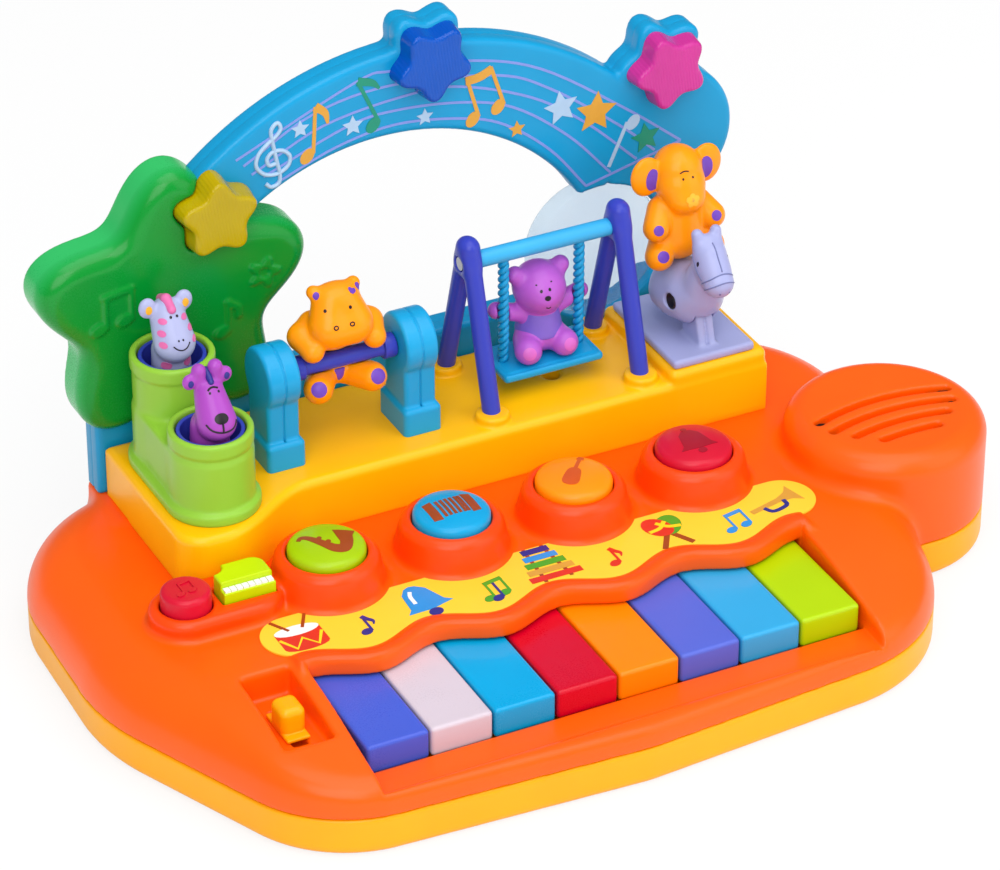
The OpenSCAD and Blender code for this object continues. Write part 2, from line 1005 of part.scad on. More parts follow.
module play_deck() {
    color(amber)
        difference() {
            union() {
                difference() {
                    translate([0, 0, shell_height])
                        linear_extrude(deck_rise)
                            deck_plan(0);
                    translate([0, 0, shell_height - cut_over])
                        linear_extrude(deck_rise - wall + cut_over)
                            deck_plan(wall);
                }
                box([block_left, deck_front, deck_z - wall], [deck_right, deck_rear, block_z]);
                for (x = [swing_left, swing_right])
                    box(
                        [x - pad_half, deck_front + pad_inset, deck_z - wall],
                        [x + pad_half, deck_rear - pad_inset, swing_foot_z]
                    );
            }
            for (x = [swing_left, swing_right])
                for (y = [-swing_spread / 2, swing_spread / 2])
                    translate([x, swing_y + y, swing_foot_z - peg_long - cut_over])
                        cylinder(h = peg_long + 2 * cut_over, r = peg_radius + bore_gap);
            for (side = [-1, 1])
                translate([post_x(side), spinner_y, deck_z - peg_long - cut_over])
                    cylinder(h = peg_long + 2 * cut_over, r = peg_radius + bore_gap);
            translate([hatch_x, hatch_y, shell_height])
                cylinder(h = far, r = hatch_radius);
        }
}

// pop-up tubes

module tube_stadium(radius, low, high) {
    translate([tube_x, tube_front_y, low])
        cylinder(h = high - low, r = radius);
    translate([tube_x, tube_rear_y, low])
        cylinder(h = high - low, r = radius);
    box([tube_x - radius, tube_front_y, low], [tube_x + radius, tube_rear_y, high]);
}

module tube(y, rim) {
    translate([tube_x, y, deck_z])
        cylinder(h = rim - deck_z, r = tube_radius - tube_band);
    translate([tube_x, y, rim - tube_band_rise])
        cylinder(h = tube_band_rise, r = tube_radius);
}

module tube_hole(y, rim) {
    translate([tube_x, y, tube_floor(rim)])
        cylinder(h = far, r = tube_bore);
}

module log_tubes() {
    color(lime)
        difference() {
            union() {
                tube(tube_front_y, front_rim);
                tube(tube_rear_y, rear_rim);
                tube_stadium(tube_radius - tube_band, deck_z, front_rim - tube_web_drop);
                tube_stadium(tube_radius + tube_foot, deck_z, deck_z + tube_foot_rise);
            }
            tube_hole(tube_front_y, front_rim);
            tube_hole(tube_rear_y, rear_rim);
        }
}

module cup(y, rim) {
    color(violet)
        translate([tube_x, y, cup_low(rim)])
            difference() {
                cylinder(h = cup_height, r = cup_radius);
                translate([0, 0, cup_floor])
                    cylinder(h = cup_height, r = cup_radius - cup_wall);
            }
}

module zebra_cup() {
    cup(tube_rear_y, rear_rim);
}

module giraffe_cup() {
    cup(tube_front_y, front_rim);
}

module zebra() {
    color(pale)
        figure(zebra_balls, [tube_x, tube_rear_y, cup_low(rear_rim) + cup_floor]);
}

module giraffe() {
    color(magenta)
        figure(giraffe_balls, [tube_x, tube_front_y, cup_low(front_rim) + cup_floor]);
}

module popup_spring(y, rim) {
    color(steel)
        translate([tube_x, y, tube_floor(rim)])
            difference() {
                cylinder(h = spring_length - spring_gap, r = spring_radius);
                translate([0, 0, -cut_over])
                    cylinder(h = spring_length + 2 * cut_over, r = spring_radius - spring_wall);
            }
}

module zebra_spring() {
    popup_spring(tube_rear_y, rear_rim);
}

module giraffe_spring() {
    popup_spring(tube_front_y, front_rim);
}

// spinner

function post_x(side) = spinner_x + side * (spinner_half + post_thick / 2);

module post(side) {
    x = post_x(side);
    color(teal)
        difference() {
            union() {
                box(
                    [x - foot_long / 2, spinner_y - foot_deep / 2, deck_z],
                    [x + foot_long / 2, spinner_y + foot_deep / 2, deck_z + foot_high]
                );
                box(
                    [x - post_thick / 2, spinner_y - post_deep / 2, deck_z],
                    [x + post_thick / 2, spinner_y + post_deep / 2, spinner_z]
                );
                cross_bar(x - post_thick / 2, x + post_thick / 2, spinner_y, spinner_z, post_head);
                translate([x, spinner_y, deck_z - peg_long])
                    cylinder(h = peg_long + foot_high, r = peg_radius);
            }
            cross_bar(
                spinner_x - spinner_half - bar_pin_long - move_gap,
                spinner_x + spinner_half + bar_pin_long + move_gap,
                spinner_y, spinner_z, bar_pin + run_gap
            );
        }
}

module post_left() {
    post(-1);
}

module post_right() {
    post(1);
}

module spinner_bar() {
    reach = spinner_half - move_gap;
    color(violet) {
        cross_bar(spinner_x - reach, spinner_x + reach, spinner_y, spinner_z, spinner_radius);
        for (x = [spinner_x - reach, spinner_x + reach - bar_collar_long])
            cross_bar(x, x + bar_collar_long, spinner_y, spinner_z, spinner_radius + bar_collar);
        cross_bar(
            spinner_x - spinner_half - bar_pin_long, spinner_x + spinner_half + bar_pin_long,
            spinner_y, spinner_z, bar_pin
        );
    }
}

module hippo() {
    color(amber)
        difference() {
            figure(hippo_balls, [spinner_x, spinner_y, spinner_z]);
            cross_bar(-far, far, spinner_y, spinner_z, spinner_radius + figure_gap);
        }
}

// swing

module swing_frame(x, side) {
    color(violet)
        difference() {
            union() {
                intersection() {
                    union() {
                        for (s = [-1, 1])
                            translate([x, swing_y + s * swing_spread / 2, swing_foot_z])
                                rotate([s * leg_tilt, 0, 0])
                                    translate([0, 0, -swing_tube])
                                        cylinder(h = leg_long + swing_tube, r = swing_tube);
                        translate([x, swing_y, apex_z])
                            sphere(swing_tube);
                    }
                    box([-far, -far, swing_foot_z], [far, far, far]);
                }
                cross_bar(x - hub_half, x + hub_half, swing_y, swing_z, hub_radius);
                for (s = [-1, 1])
                    translate([x, swing_y + s * swing_spread / 2, swing_foot_z - peg_long])
                        cylinder(h = peg_long + swing_tube, r = peg_radius);
            }
            cross_bar(x - far, x + far, swing_y, swing_z, swing_pin + run_gap);
            cross_bar(
                side < 0 ? x - far : x + pin_seat,
                side < 0 ? x - pin_seat : x + far,
                swing_y, swing_z, pin_head + move_gap
            );
        }
}

module swing_frame_left() {
    swing_frame(swing_left, -1);
}

module swing_frame_right() {
    swing_frame(swing_right, 1);
}

module swing_pin_at(x, side) {
    head = pin_seat + move_gap;
    far_end = -side * (bar_inset + swing_pin_grip);
    near_end = side * head;
    cross_bar(x + min(far_end, near_end), x + max(far_end, near_end), swing_y, swing_z, swing_pin);
    cross_bar(
        x + near_end + min(0, side) * pin_head_long,
        x + near_end + max(0, side) * pin_head_long,
        swing_y, swing_z, pin_head
    );
}

module swing_pins() {
    color(steel) {
        swing_pin_at(swing_left, -1);
        swing_pin_at(swing_right, 1);
    }
}

module swing_bar() {
    x_low = swing_left + bar_inset;
    x_high = swing_right - bar_inset;
    deep = swing_pin_grip + move_gap;
    color(cyan)
        difference() {
            cross_bar(x_low, x_high, swing_y, swing_z, swing_tube);
            cross_bar(x_low - cut_over, x_low + deep, swing_y, swing_z, swing_pin + bore_gap);
            cross_bar(x_high - deep, x_high + cut_over, swing_y, swing_z, swing_pin + bore_gap);
        }
}

module rope(x, radius) {
    translate([x, swing_y, seat_top])
        cylinder(h = swing_z - seat_top, r = radius);
}

module swing_ropes() {
    color(teal)
        difference() {
            for (x = [hang_x - rope_half, hang_x + rope_half])
                rope(x, rope_radius);
            cross_bar(-far, far, swing_y, swing_z, swing_tube + bore_gap);
        }
}

module swing_seat() {
    color(teal)
        box(
            [hang_x - seat_half, swing_y - seat_deep / 2, seat_top - seat_thick],
            [hang_x + seat_half, swing_y + seat_deep / 2, seat_top]
        );
}

module bear() {
    color(magenta)
        difference() {
            figure(bear_balls, [hang_x, swing_y, seat_top]);
            for (x = [hang_x - rope_half, hang_x + rope_half])
                rope(x, rope_radius + figure_gap);
        }
}

// rocker

module stand_plan() {
    polygon([
        [rocker_y - stand_front, plate_top - plate_thick / 2],
        [rocker_y + stand_rear, plate_top - plate_thick / 2],
        [rocker_y + stand_head, rocker_z],
        [rocker_y - stand_head, rocker_z]
    ]);
    translate([rocker_y, rocker_z])
        circle(stand_head);
}

module rocker_stand() {
    color(lavender)
        difference() {
            union() {
                box(
                    [rocker_x - plate_half, plate_front, block_z],
                    [rocker_x + plate_half, plate_rear, plate_top]
                );
                across(rocker_x - stand_half, 2 * stand_half)
                    stand_plan();
            }
            cross_bar(-far, far, rocker_y, rocker_z, rocker_pin + run_gap);
        }
}

module rocker_rod() {
    color(steel)
        cross_bar(rocker_x - rocker_pin_half, rocker_x + rocker_pin_half, rocker_y, rocker_z, rocker_pin);
}

module donkey() {
    gap_half = stand_half + stand_gap;
    slot_low = plate_top - plate_thick;
    swept = rocker_z - slot_low;
    hole_start = rocker_pin_half + figure_gap;
    color(lavender)
        difference() {
            figure(donkey_balls, [rocker_x, rocker_y, rocker_z]);
            across(rocker_x - gap_half, 2 * gap_half) {
                polygon([
                    [rocker_y - stand_front - swept * tan(rocker_sweep), slot_low],
                    [rocker_y + stand_rear + swept * tan(rocker_sweep), slot_low],
                    [rocker_y + stand_head + stand_gap, rocker_z],
                    [rocker_y - stand_head - stand_gap, rocker_z]
                ]);
                translate([rocker_y, rocker_z])
                    circle(stand_head + stand_gap);
            }
            cross_bar(rocker_x - far, rocker_x + far, rocker_y, rocker_z, rocker_pin + figure_gap);
            cross_bar(rocker_x - far, rocker_x - hole_start, rocker_y, rocker_z, rocker_hole);
            cross_bar(rocker_x + hole_start, rocker_x + far, rocker_y, rocker_z, rocker_hole);
        }
}

module elephant() {
    color(amber)
        figure(elephant_balls, [rocker_x, rocker_y, rocker_z]);
}

// backdrop

module arch_plan() {
    intersection() {
        difference() {
            translate([arch_top_x, arch_top_z])
                circle(arch_outer);
            translate([arch_x, arch_z])
                circle(arch_inner);
        }
        translate([arch_x, arch_z])
            polygon(concat(
                [[0, 0]],
                [for (i = [0 : arch_fan]) toward(arch_start + i * (arch_end - arch_start) / arch_fan, far)]
            ));
    }
    translate([lobe_x, lobe_z])
        circle(lobe_radius);
    polygon([
        [arch_x, arch_z] + toward(arch_start, arch_inner),
        [lobe_tip_x, lobe_tip_z],
        [lobe_x, lobe_z],
        [arch_x, arch_z] + toward(arch_start, arch_outer)
    ]);
    star_plan(lens_blue_at, lens_radius + lens_bump, lens_swing, lens_steps);
    star_plan(lens_pink_at, lens_radius + lens_bump, lens_swing, lens_steps);
    translate([rail_left, shell_height])
        square([rail_right - rail_left, rail_top - shell_height]);
    translate([column_left, shell_height])
        square([column_right - column_left, column_top - shell_height]);
}

module disc_round(radius, front, rear) {
    upright(front, rear - front)
        translate([disc_x, disc_z])
            circle(radius);
}

module lamp_holes() {
    for (at = [lens_yellow_at, lens_blue_at, lens_pink_at])
        upright(arch_front_y - cut_over, lamp_tail + cut_over)
            translate([at[0], at[1]])
                circle(lamp_radius + bore_gap);
}

module arch_front() {
    color(sky)
        difference() {
            upright(arch_front_y, arch_depth / 2)
                arch_plan();
            disc_round(disc_radius + bore_gap, disc_front_y, far);
            lamp_holes();
        }
}

module arch_back() {
    color(sky)
        difference() {
            upright(arch_split_y, arch_depth / 2)
                arch_plan();
            disc_round(disc_radius + bore_gap, 0, disc_front_y + disc_depth);
        }
}

module arch_disc() {
    color(pale)
        disc_round(disc_radius, disc_front_y, disc_front_y + disc_depth);
}

module green_star(inset) {
    star_plan([star_x, star_z, star_turn], star_radius - inset, star_swing, star_steps);
}

module star_front() {
    color(green)
        difference() {
            upright(star_front_y, arch_front_y - star_front_y)
                green_star(0);
            upright(star_front_y - cut_over, star_dish + cut_over)
                green_star(star_rim);
            upright(0, far)
                star_plan(lens_yellow_at, lens_radius + bore_gap, lens_swing, lens_steps);
            translate([tube_x, tube_rear_y, 0])
                cylinder(h = rear_rim + tube_seat, r = tube_radius + tube_seat);
        }
}

module star_rear() {
    color(green) {
        upright(arch_front_y, arch_depth + star_back)
            difference() {
                green_star(0);
                arch_plan();
            }
        upright(arch_rear_y, star_back)
            green_star(0);
    }
}

module lens(at, depth) {
    difference() {
        upright(arch_front_y - depth, depth)
            star_plan(at, lens_radius, lens_swing, lens_steps);
        upright(arch_front_y - lamp_room_deep, lamp_room_deep + cut_over)
            translate([at[0], at[1]])
                circle(lamp_room);
    }
}

module lens_yellow() {
    color(yellow)
        lens(lens_yellow_at, lens_deep);
}

module lens_blue() {
    color([0.02, 0.3, 0.85])
        lens(lens_blue_at, lens_depth);
}

module lens_pink() {
    color([0.88, 0.2, 0.6])
        lens(lens_pink_at, lens_depth);
}

module lens_lamps() {
    color(pale)
        for (at = [lens_yellow_at, lens_blue_at, lens_pink_at])
            upright(arch_front_y - lamp_nose, lamp_nose + lamp_tail)
                translate([at[0], at[1]])
                    circle(lamp_radius);
}

// electrics

module circuit_board() {
    color(board_green)
        box([-board_half, board_front, board_z], [board_half, board_rear, board_z + board_thick]);
}

module key_pads() {
    pad_low = board_z + board_thick;
    pad_sink = key_travel * (hinge_y - pad_y + dome_radius) / key_reach;
    color(dark) {
        box(
            [-board_half, pad_y - pad_deep / 2, pad_low],
            [board_half, pad_y + pad_deep / 2, pad_low + pad_thick]
        );
        for (i = [0 : key_count - 1])
            translate([key_x(i), pad_y, pad_low])
                cylinder(h = key_low - pad_sink - press_gap - pad_low, r = dome_radius);
    }
}

module button_board() {
    dome_top = flange_low - button_travel - press_gap;
    color(board_green) {
        box(
            [button_board_left, button_y - button_board_deep / 2, button_board_z],
            [button_board_right, button_y + button_board_deep / 2, button_board_top]
        );
        for (i = [0 : button_count - 1])
            translate([button_x(i), button_y, button_board_z])
                cylinder(h = dome_top - button_board_z, r = dome_radius);
        for (x = [note_x, piano_x])
            translate([x, small_y, button_board_z])
                cylinder(h = dome_top - button_board_z, r = dome_radius);
    }
}

module speaker() {
    roof = pod_height - wall;
    color(dark)
        translate([pod_x, pod_y, roof - speaker_deep])
            rotate_extrude()
                polygon([
                    [0, 0],
                    [speaker_magnet, 0],
                    [speaker_magnet, speaker_magnet_high],
                    [speaker_rim, speaker_deep - speaker_rim_thick],
                    [speaker_rim, speaker_deep],
                    [speaker_rim - speaker_rim_thick, speaker_deep],
                    [speaker_cone, speaker_magnet_high + speaker_rim_thick],
                    [0, speaker_magnet_high + speaker_rim_thick]
                ]);
}

module battery_box() {
    color(dark)
        difference() {
            box([-box_half, box_y - box_deep / 2, wall], [box_half, box_y + box_deep / 2, wall + box_high]);
            box(
                [box_wall - box_half, box_y - box_deep / 2 + box_wall, 0],
                [box_half - box_wall, box_y + box_deep / 2 - box_wall, wall + box_high - box_wall]
            );
        }
}

module battery_cells() {
    color(steel)
        for (i = [0 : cell_count - 1])
            cross_bar(
                -cell_long / 2, cell_long / 2,
                box_y + (i - (cell_count - 1) / 2) * cell_pitch, cell_low + cell_radius, cell_radius
            );
}

module battery_door() {
    half_x = box_half - box_wall - door_gap;
    half_y = box_deep / 2 - box_wall - door_gap;
    color(yellow)
        box([-half_x, box_y - half_y, door_sink], [half_x, box_y + half_y, door_sink + door_thick]);
}

module case_screws() {
    color(steel)
        for (s = screws)
            translate([s[0], s[1], screw_sink]) {
                cylinder(h = screw_head_long, r = screw_head);
                cylinder(h = screw_top - screw_sink, r = screw_radius);
            }
}

base_tray();
top_shell();
label_strip();
play_deck();
arch_front();
arch_back();
arch_disc();
star_front();
star_rear();
lens_yellow();
lens_blue();
lens_pink();
lens_lamps();
log_tubes();
zebra_cup();
giraffe_cup();
zebra();
giraffe();
zebra_spring();
giraffe_spring();
post_left();
post_right();
spinner_bar();
hippo();
swing_frame_left();
swing_frame_right();
swing_pins();
swing_bar();
swing_ropes();
swing_seat();
bear();
rocker_stand();
rocker_rod();
donkey();
elephant();
sax_button();
accordion_button();
guitar_button();
drum_button();
note_button();
piano_button();
switch_knob();
key_1();
key_2();
key_3();
key_4();
key_5();
key_6();
key_7();
key_8();
key_axle();
key_pads();
circuit_board();
button_board();
speaker();
battery_box();
battery_cells();
battery_door();
case_screws();
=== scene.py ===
import functools
import math
import bpy
import numpy as np
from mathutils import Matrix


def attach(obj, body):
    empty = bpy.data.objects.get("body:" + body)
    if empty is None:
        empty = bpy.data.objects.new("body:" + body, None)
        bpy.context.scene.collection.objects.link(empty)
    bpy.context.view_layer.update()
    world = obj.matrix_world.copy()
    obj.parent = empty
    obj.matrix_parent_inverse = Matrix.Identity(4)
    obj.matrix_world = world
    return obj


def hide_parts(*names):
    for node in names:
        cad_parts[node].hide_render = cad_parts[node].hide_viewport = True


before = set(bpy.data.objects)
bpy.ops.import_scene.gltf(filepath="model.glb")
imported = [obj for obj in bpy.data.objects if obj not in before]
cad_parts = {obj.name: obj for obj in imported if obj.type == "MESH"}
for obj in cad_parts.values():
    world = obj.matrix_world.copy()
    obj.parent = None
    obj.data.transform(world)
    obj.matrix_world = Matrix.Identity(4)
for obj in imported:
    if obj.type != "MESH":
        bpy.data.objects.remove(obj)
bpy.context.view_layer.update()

import openvdb as vdb
from mathutils import Vector
from mathutils.geometry import delaunay_2d_cdt

print("frame loaded,", len(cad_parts), "nodes")

mm = 0.001
scene = bpy.context.scene
scene.view_settings.view_transform = "Standard"


def tint(code):  # hex colour to linear
    parts = [int(code[i:i + 2], 16) / 255 for i in (1, 3, 5)]
    return tuple(c / 12.92 if c <= 0.04045 else ((c + 0.055) / 1.055) ** 2.4 for c in parts) + (1.0,)


def shade(colour, gain):
    return tuple(min(1.0, c * gain) for c in colour[:3]) + (1.0,)


class Wire:  # a socket that adds Math nodes when it is used in a sum
    def __init__(self, paint, socket):
        self.paint, self.socket = paint, socket

    def maths(self, operation, first, second=None):
        sockets = {i: v for i, v in enumerate((first, second)) if v is not None}
        return self.paint.node("ShaderNodeMath", {"operation": operation}, sockets)

    def __add__(self, other):
        return self.maths("ADD", self, other)

    def __radd__(self, other):
        return self.maths("ADD", other, self)

    def __sub__(self, other):
        return self.maths("SUBTRACT", self, other)

    def __rsub__(self, other):
        return self.maths("SUBTRACT", other, self)

    def __mul__(self, other):
        return self.maths("MULTIPLY", self, other)

    def __rmul__(self, other):
        return self.maths("MULTIPLY", other, self)

    def __truediv__(self, other):
        return self.maths("DIVIDE", self, other)

    def __rtruediv__(self, other):
        return self.maths("DIVIDE", other, self)

    def wave(self):
        return self.maths("SINE", self)

    def clipped(self):
        return self.paint.node("ShaderNodeClamp", {}, {"Value": self})


class Paint:  # the nodes of one material or of the world
    def __init__(self, owner):
        self.owner = owner
        owner.use_nodes = True
        self.tree = owner.node_tree
        self.tree.nodes.clear()

    def node(self, kind, settings=None, sockets=None, output=0):
        made = self.tree.nodes.new(kind)
        for key, value in (settings or {}).items():
            setattr(made, key, value)
        for key, value in (sockets or {}).items():
            if isinstance(value, Wire):
                self.tree.links.new(value.socket, made.inputs[key])
            else:
                made.inputs[key].default_value = value
        return Wire(self, made.outputs[output]) if len(made.outputs) else None

    def place(self):  # the piece's own coordinates, which move with it
        return self.node("ShaderNodeTexCoord", output="Object")

    def axis(self, place, letter):
        return self.node("ShaderNodeSeparateXYZ", {}, {0: place}, "XYZ".index(letter))

    def noise(self, place, scale, detail=2.0, rough=0.5):
        sockets = {"Vector": place, "Scale": scale, "Detail": detail, "Roughness": rough}
        return self.node("ShaderNodeTexNoise", {}, sockets)

    def mix(self, first, second, share):
        return self.node("ShaderNodeMix", {"data_type": "RGBA"}, {0: share, 6: first, 7: second}, 2)

    def bump(self, height, depth, strength=1.0):
        return self.node("ShaderNodeBump", {}, {"Height": height, "Distance": depth, "Strength": strength})

    def finish(self, **sockets):
        names = {key.replace("_", " "): value for key, value in sockets.items()}
        surface = self.node("ShaderNodeBsdfPrincipled", {}, names)
        self.node("ShaderNodeOutputMaterial", {}, {"Surface": surface})
        return self.owner


def moulded(p, place, base, rough=0.34, coat=0.08):  # the surface that all opaque plastics share
    fine, smear = p.noise(place, 1500.0, 3.0, 0.6), p.noise(place, 9.0, 4.0, 0.6)
    return p.finish(
        Base_Color=base, Roughness=rough + (smear - 0.5) * 0.14 + (fine - 0.5) * 0.05,
        Normal=p.bump(fine, 0.00003, 0.6), Coat_Weight=coat, Coat_Roughness=0.12, IOR=1.45,
        Specular_IOR_Level=0.32)


def plastic(name, colour, rough=0.34, coat=0.08, drift=0.07, side=None):
    p = Paint(bpy.data.materials.new(name))
    place = p.place()
    cloud, flow = p.noise(place, 22.0, 3.0, 0.55), p.noise(place, 75.0, 2.0)
    share = ((cloud - 0.5) * 1.6 + (flow - 0.5) * 0.5 + 0.5).clipped()
    base = p.mix(shade(colour, 1 - drift), shade(colour, 1 + drift * 0.5), share)
    if side:  # another tone, blended in along an axis
        letter, first, last, tone = side
        along = (p.axis(place, letter) - first * mm) / ((last - first) * mm)
        base = p.mix(base, tint(tone), along.clipped())
    return moulded(p, place, base, rough, coat)


# the flat pair is the shell's own orange; the raised pair is painted shade for the collars and pods above the
# flat top
shellToneAndShade = {
    "flat": ("#f25600", "#ff6000"), "raised": ("#ee4200", "#fb4800"), "from": 38.6, "over": 3.4,
    "podFrom": 118, "podOver": 8,
}


def shellShadedPlastic():  # painted shade: a deeper, darker tone on what rises over the flat top, but not on the speaker pod
    s = shellToneAndShade
    p = Paint(bpy.data.materials.new("shellShadedPlastic"))
    place = p.place()
    cloud = p.noise(place, 22.0, 3.0, 0.55)
    shadeRise = ((p.axis(place, "Z") - s["from"] * mm) / (s["over"] * mm)).clipped()
    shadeOffPod = ((s["podFrom"] * mm - p.axis(place, "X")) / (s["podOver"] * mm)).clipped()
    flat, raised = (p.mix(tint(s[key][0]), tint(s[key][1]), cloud) for key in ("flat", "raised"))
    # painted shade mixed in by height, fading out towards the speaker pod
    return moulded(p, place, p.mix(flat, raised, shadeRise * shadeOffPod))


def clearPlastic(name, colour, body=0.12, rough=0.16, ribs=0.0, bend=1.3):
    p = Paint(bpy.data.materials.new(name))
    place = p.place()
    cloud = p.noise(place, 60.0, 2.0)
    base = p.mix(shade(colour, 0.86), shade(colour, 1.1), cloud)
    across = p.axis(place, "X") * 5200.0 + p.axis(place, "Z") * 700.0
    height = across.wave() * ribs + p.noise(place, 900.0) * 0.15
    return p.finish(
        Base_Color=base, Roughness=rough + (cloud - 0.5) * 0.06, Normal=p.bump(height, 0.0001, 0.7),
        Transmission_Weight=body, IOR=bend, Coat_Weight=0.2, Coat_Roughness=0.06)


def paintCoat(name, colour, rough=0.4):  # printed or brushed-on colour
    p = Paint(bpy.data.materials.new(name))
    place = p.place()
    cloud = p.noise(place, 220.0, 3.0, 0.6)
    fine = p.noise(place, 2600.0, 2.0)
    base = p.mix(shade(colour, 0.9), shade(colour, 1.06), cloud)
    return p.finish(
        Base_Color=base, Roughness=rough + (cloud - 0.5) * 0.15, Normal=p.bump(fine, 0.00002, 0.6),
        Coat_Weight=0.1, Coat_Roughness=0.2, Specular_IOR_Level=0.35)


def metal(name, colour, rough=0.28):
    p = Paint(bpy.data.materials.new(name))
    stretched = p.node("ShaderNodeMapping", {}, {"Vector": p.place(), "Scale": (60.0, 2500.0, 2500.0)})
    lines = p.noise(stretched, 1.0, 3.0)
    base = p.mix(shade(colour, 0.85), shade(colour, 1.1), lines)
    return p.finish(
        Base_Color=base, Roughness=rough + (lines - 0.5) * 0.2, Metallic=1.0,
        Normal=p.bump(lines, 0.00002, 0.5))


hues = {
    "tray": "#f6a800", "deck": "#ffb800", "label": "#ffca36", "arch": "#0794c8",
    "lime": "#a0c300", "tube": "#8fc23a", "violet": "#3540b4", "teal": "#149cd2",
    "cyan": "#0a9dd2", "sky": "#36a8de", "red": "#cf1030", "amber": "#ff8c00", "white": "#a6abd2",
    "animal": "#ff9600", "magenta": "#b058c2", "plum": "#a648b6", "lavender": "#a0a5d2", "swing": "#0f96cc",
    "yellow": "#f5a800",
}
paints = {key: plastic(key + "Plastic", tint(code)) for key, code in hues.items()}
# painted highlight: the star's sides (Y 90 to 97 mm) are blended to a lighter green, standing in for light
# falling on the rim
paints["star"] = plastic(
    "starPlastic", tint("#008c2c"), rough=0.28, coat=0.15, side=("Y", 90.0, 97.0, "#2fb661"))
paints["shell"] = shellShadedPlastic()
paints["brightLime"] = plastic("brightLimePlastic", tint("#bedd00"))
paints["darkSteel"] = metal("darkSteel", tint("#4a3838"))
paints["steel"] = metal("brushedSteel", tint("#b8b8bc"))
paints["chrome"] = metal("brightPin", tint("#a8a8b0"), rough=0.16)
paints["black"] = plastic("blackPlastic", tint("#18181a"), rough=0.5, coat=0.0)
paints["board"] = plastic("boardLacquer", tint("#0d5a28"), rough=0.45)
for title, code in (("Yellow", "#bca400"), ("Blue", "#0052bc"), ("Pink", "#cc3496")):
    paints["lens" + title] = clearPlastic("lens" + title + "Clear", tint(code), ribs=0.5)
paints["disc"] = clearPlastic("paleDiscClear", tint("#dcecff"), body=0.92, rough=0.08, bend=1.02)
inks = {
    "ink": "#1c1620", "brown": "#9c4410", "darkRed": "#a20824", "ochre": "#d29a38", "staff": "#7b90d8",
    "pale": "#a4c2de", "green": "#0c8c70", "purple": "#6a3fb4", "pink": "#dc6aa6", "lilac": "#7a60c4",
    "honey": "#f0b02a", "rose": "#cc64c0", "navy": "#2c2f86", "signal": "#d8321c", "leaf": "#4aa026",
    "azure": "#2a8fd8", "sun": "#ffd21e", "chalk": "#f2f2f0", "slate": "#7077a8", "rust": "#d0520a",
}
coats = {key: paintCoat(key + "Paint", tint(code)) for key, code in inks.items()}
print("materials made:", len(bpy.data.materials))


# distance fields: every form is written in millimetres as the distance to its surface
def fieldAxes(low, high, step):
    lines = [np.arange(a - 2 * step, b + 3 * step, step, dtype=np.float32) for a, b in zip(low, high)]
    return lines[0][:, None, None], lines[1][None, :, None], lines[2][None, None, :]


def buildMesh(name, points, quads, triangles=()):
    mesh = bpy.data.meshes.new(name)
    quads = np.asarray(quads, np.int32).reshape(-1, 4)
    triangles = np.asarray(triangles, np.int32).reshape(-1, 3)
    loops = np.concatenate([quads.reshape(-1), triangles.reshape(-1)])
    starts = np.concatenate([np.arange(len(quads)) * 4, len(quads) * 4 + np.arange(len(triangles)) * 3])
    mesh.vertices.add(len(points))
    mesh.vertices.foreach_set("co", np.asarray(points, np.float32).reshape(-1))
    mesh.loops.add(len(loops))
    mesh.loops.foreach_set("vertex_index", loops)
    mesh.polygons.add(len(starts))
    mesh.polygons.foreach_set("loop_start", starts.astype(np.int32))
    mesh.polygons.foreach_set("use_smooth", np.ones(len(starts), bool))
    mesh.update(calc_edges=True)
    mesh.validate()
    piece = bpy.data.objects.new(name, mesh)
    scene.collection.objects.link(piece)
    return piece


def skin(name, form, low, high, step):
    x, y, z = fieldAxes(low, high, step)
    distance = np.broadcast_to(form(x, y, z), (x.size, y.size, z.size))
    grid = vdb.FloatGrid(3 * step)
    grid.copyFromArray(np.ascontiguousarray(np.clip(distance, -3 * step, 3 * step), np.float32))
    points, quads = grid.convertToQuads(0.0)
    start = np.array([x.flat[0], y.flat[0], z.flat[0]])
    return buildMesh(name, (points * step + start) * mm, quads)


def settle(piece, body, paint, slot, *nodes):  # gives a piece its body and finish, and hides the CAD nodes it replaces
    piece.data.materials.clear()
    piece.data.materials.append(paint)
    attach(piece, body)
    if nodes:
        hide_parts(*nodes)
    return piece


def fuse(a, b, fillet):
    if fillet <= 0:
        return np.minimum(a, b)
    near = np.maximum(fillet - np.abs(a - b), 0) / fillet
    return np.minimum(a, b) - near * near * fillet * 0.25


def common(a, b, fillet):
    return -fuse(-a, -b, fillet)


def within(*sides):  # inside all of these, with sharp edges
    return functools.reduce(np.maximum, sides)


def trim(form, fillet, *sides):  # the form without what is within the sides; the fillet rounds the edge
    return -fuse(-form, within(*sides), fillet)


def length2(a, b):
    return np.sqrt(a * a + b * b)


def roundEdge(plan, rise, radius):  # plan and rise are distances to a side face and an end face
    p, r = plan + radius, rise + radius
    return length2(np.maximum(p, 0), np.maximum(r, 0)) + np.minimum(np.maximum(p, r), 0) - radius


def prism(plan, along, low, high, topRound, lowRound=None):
    lowRound = topRound if lowRound is None else lowRound
    return np.maximum(roundEdge(plan, along - high, topRound), roundEdge(plan, low - along, lowRound))


def ball(x, y, z, centre, radius):
    return np.sqrt((x - centre[0]) ** 2 + (y - centre[1]) ** 2 + (z - centre[2]) ** 2) - radius


def egg(x, y, z, centre, radii):
    p = [(v - c) / r for v, c, r in zip((x, y, z), centre, radii)]
    size = np.sqrt(p[0] ** 2 + p[1] ** 2 + p[2] ** 2)
    slope = np.sqrt(sum((v / r) ** 2 for v, r in zip(p, radii)))
    return size * (size - 1) / np.maximum(slope, 1e-6)


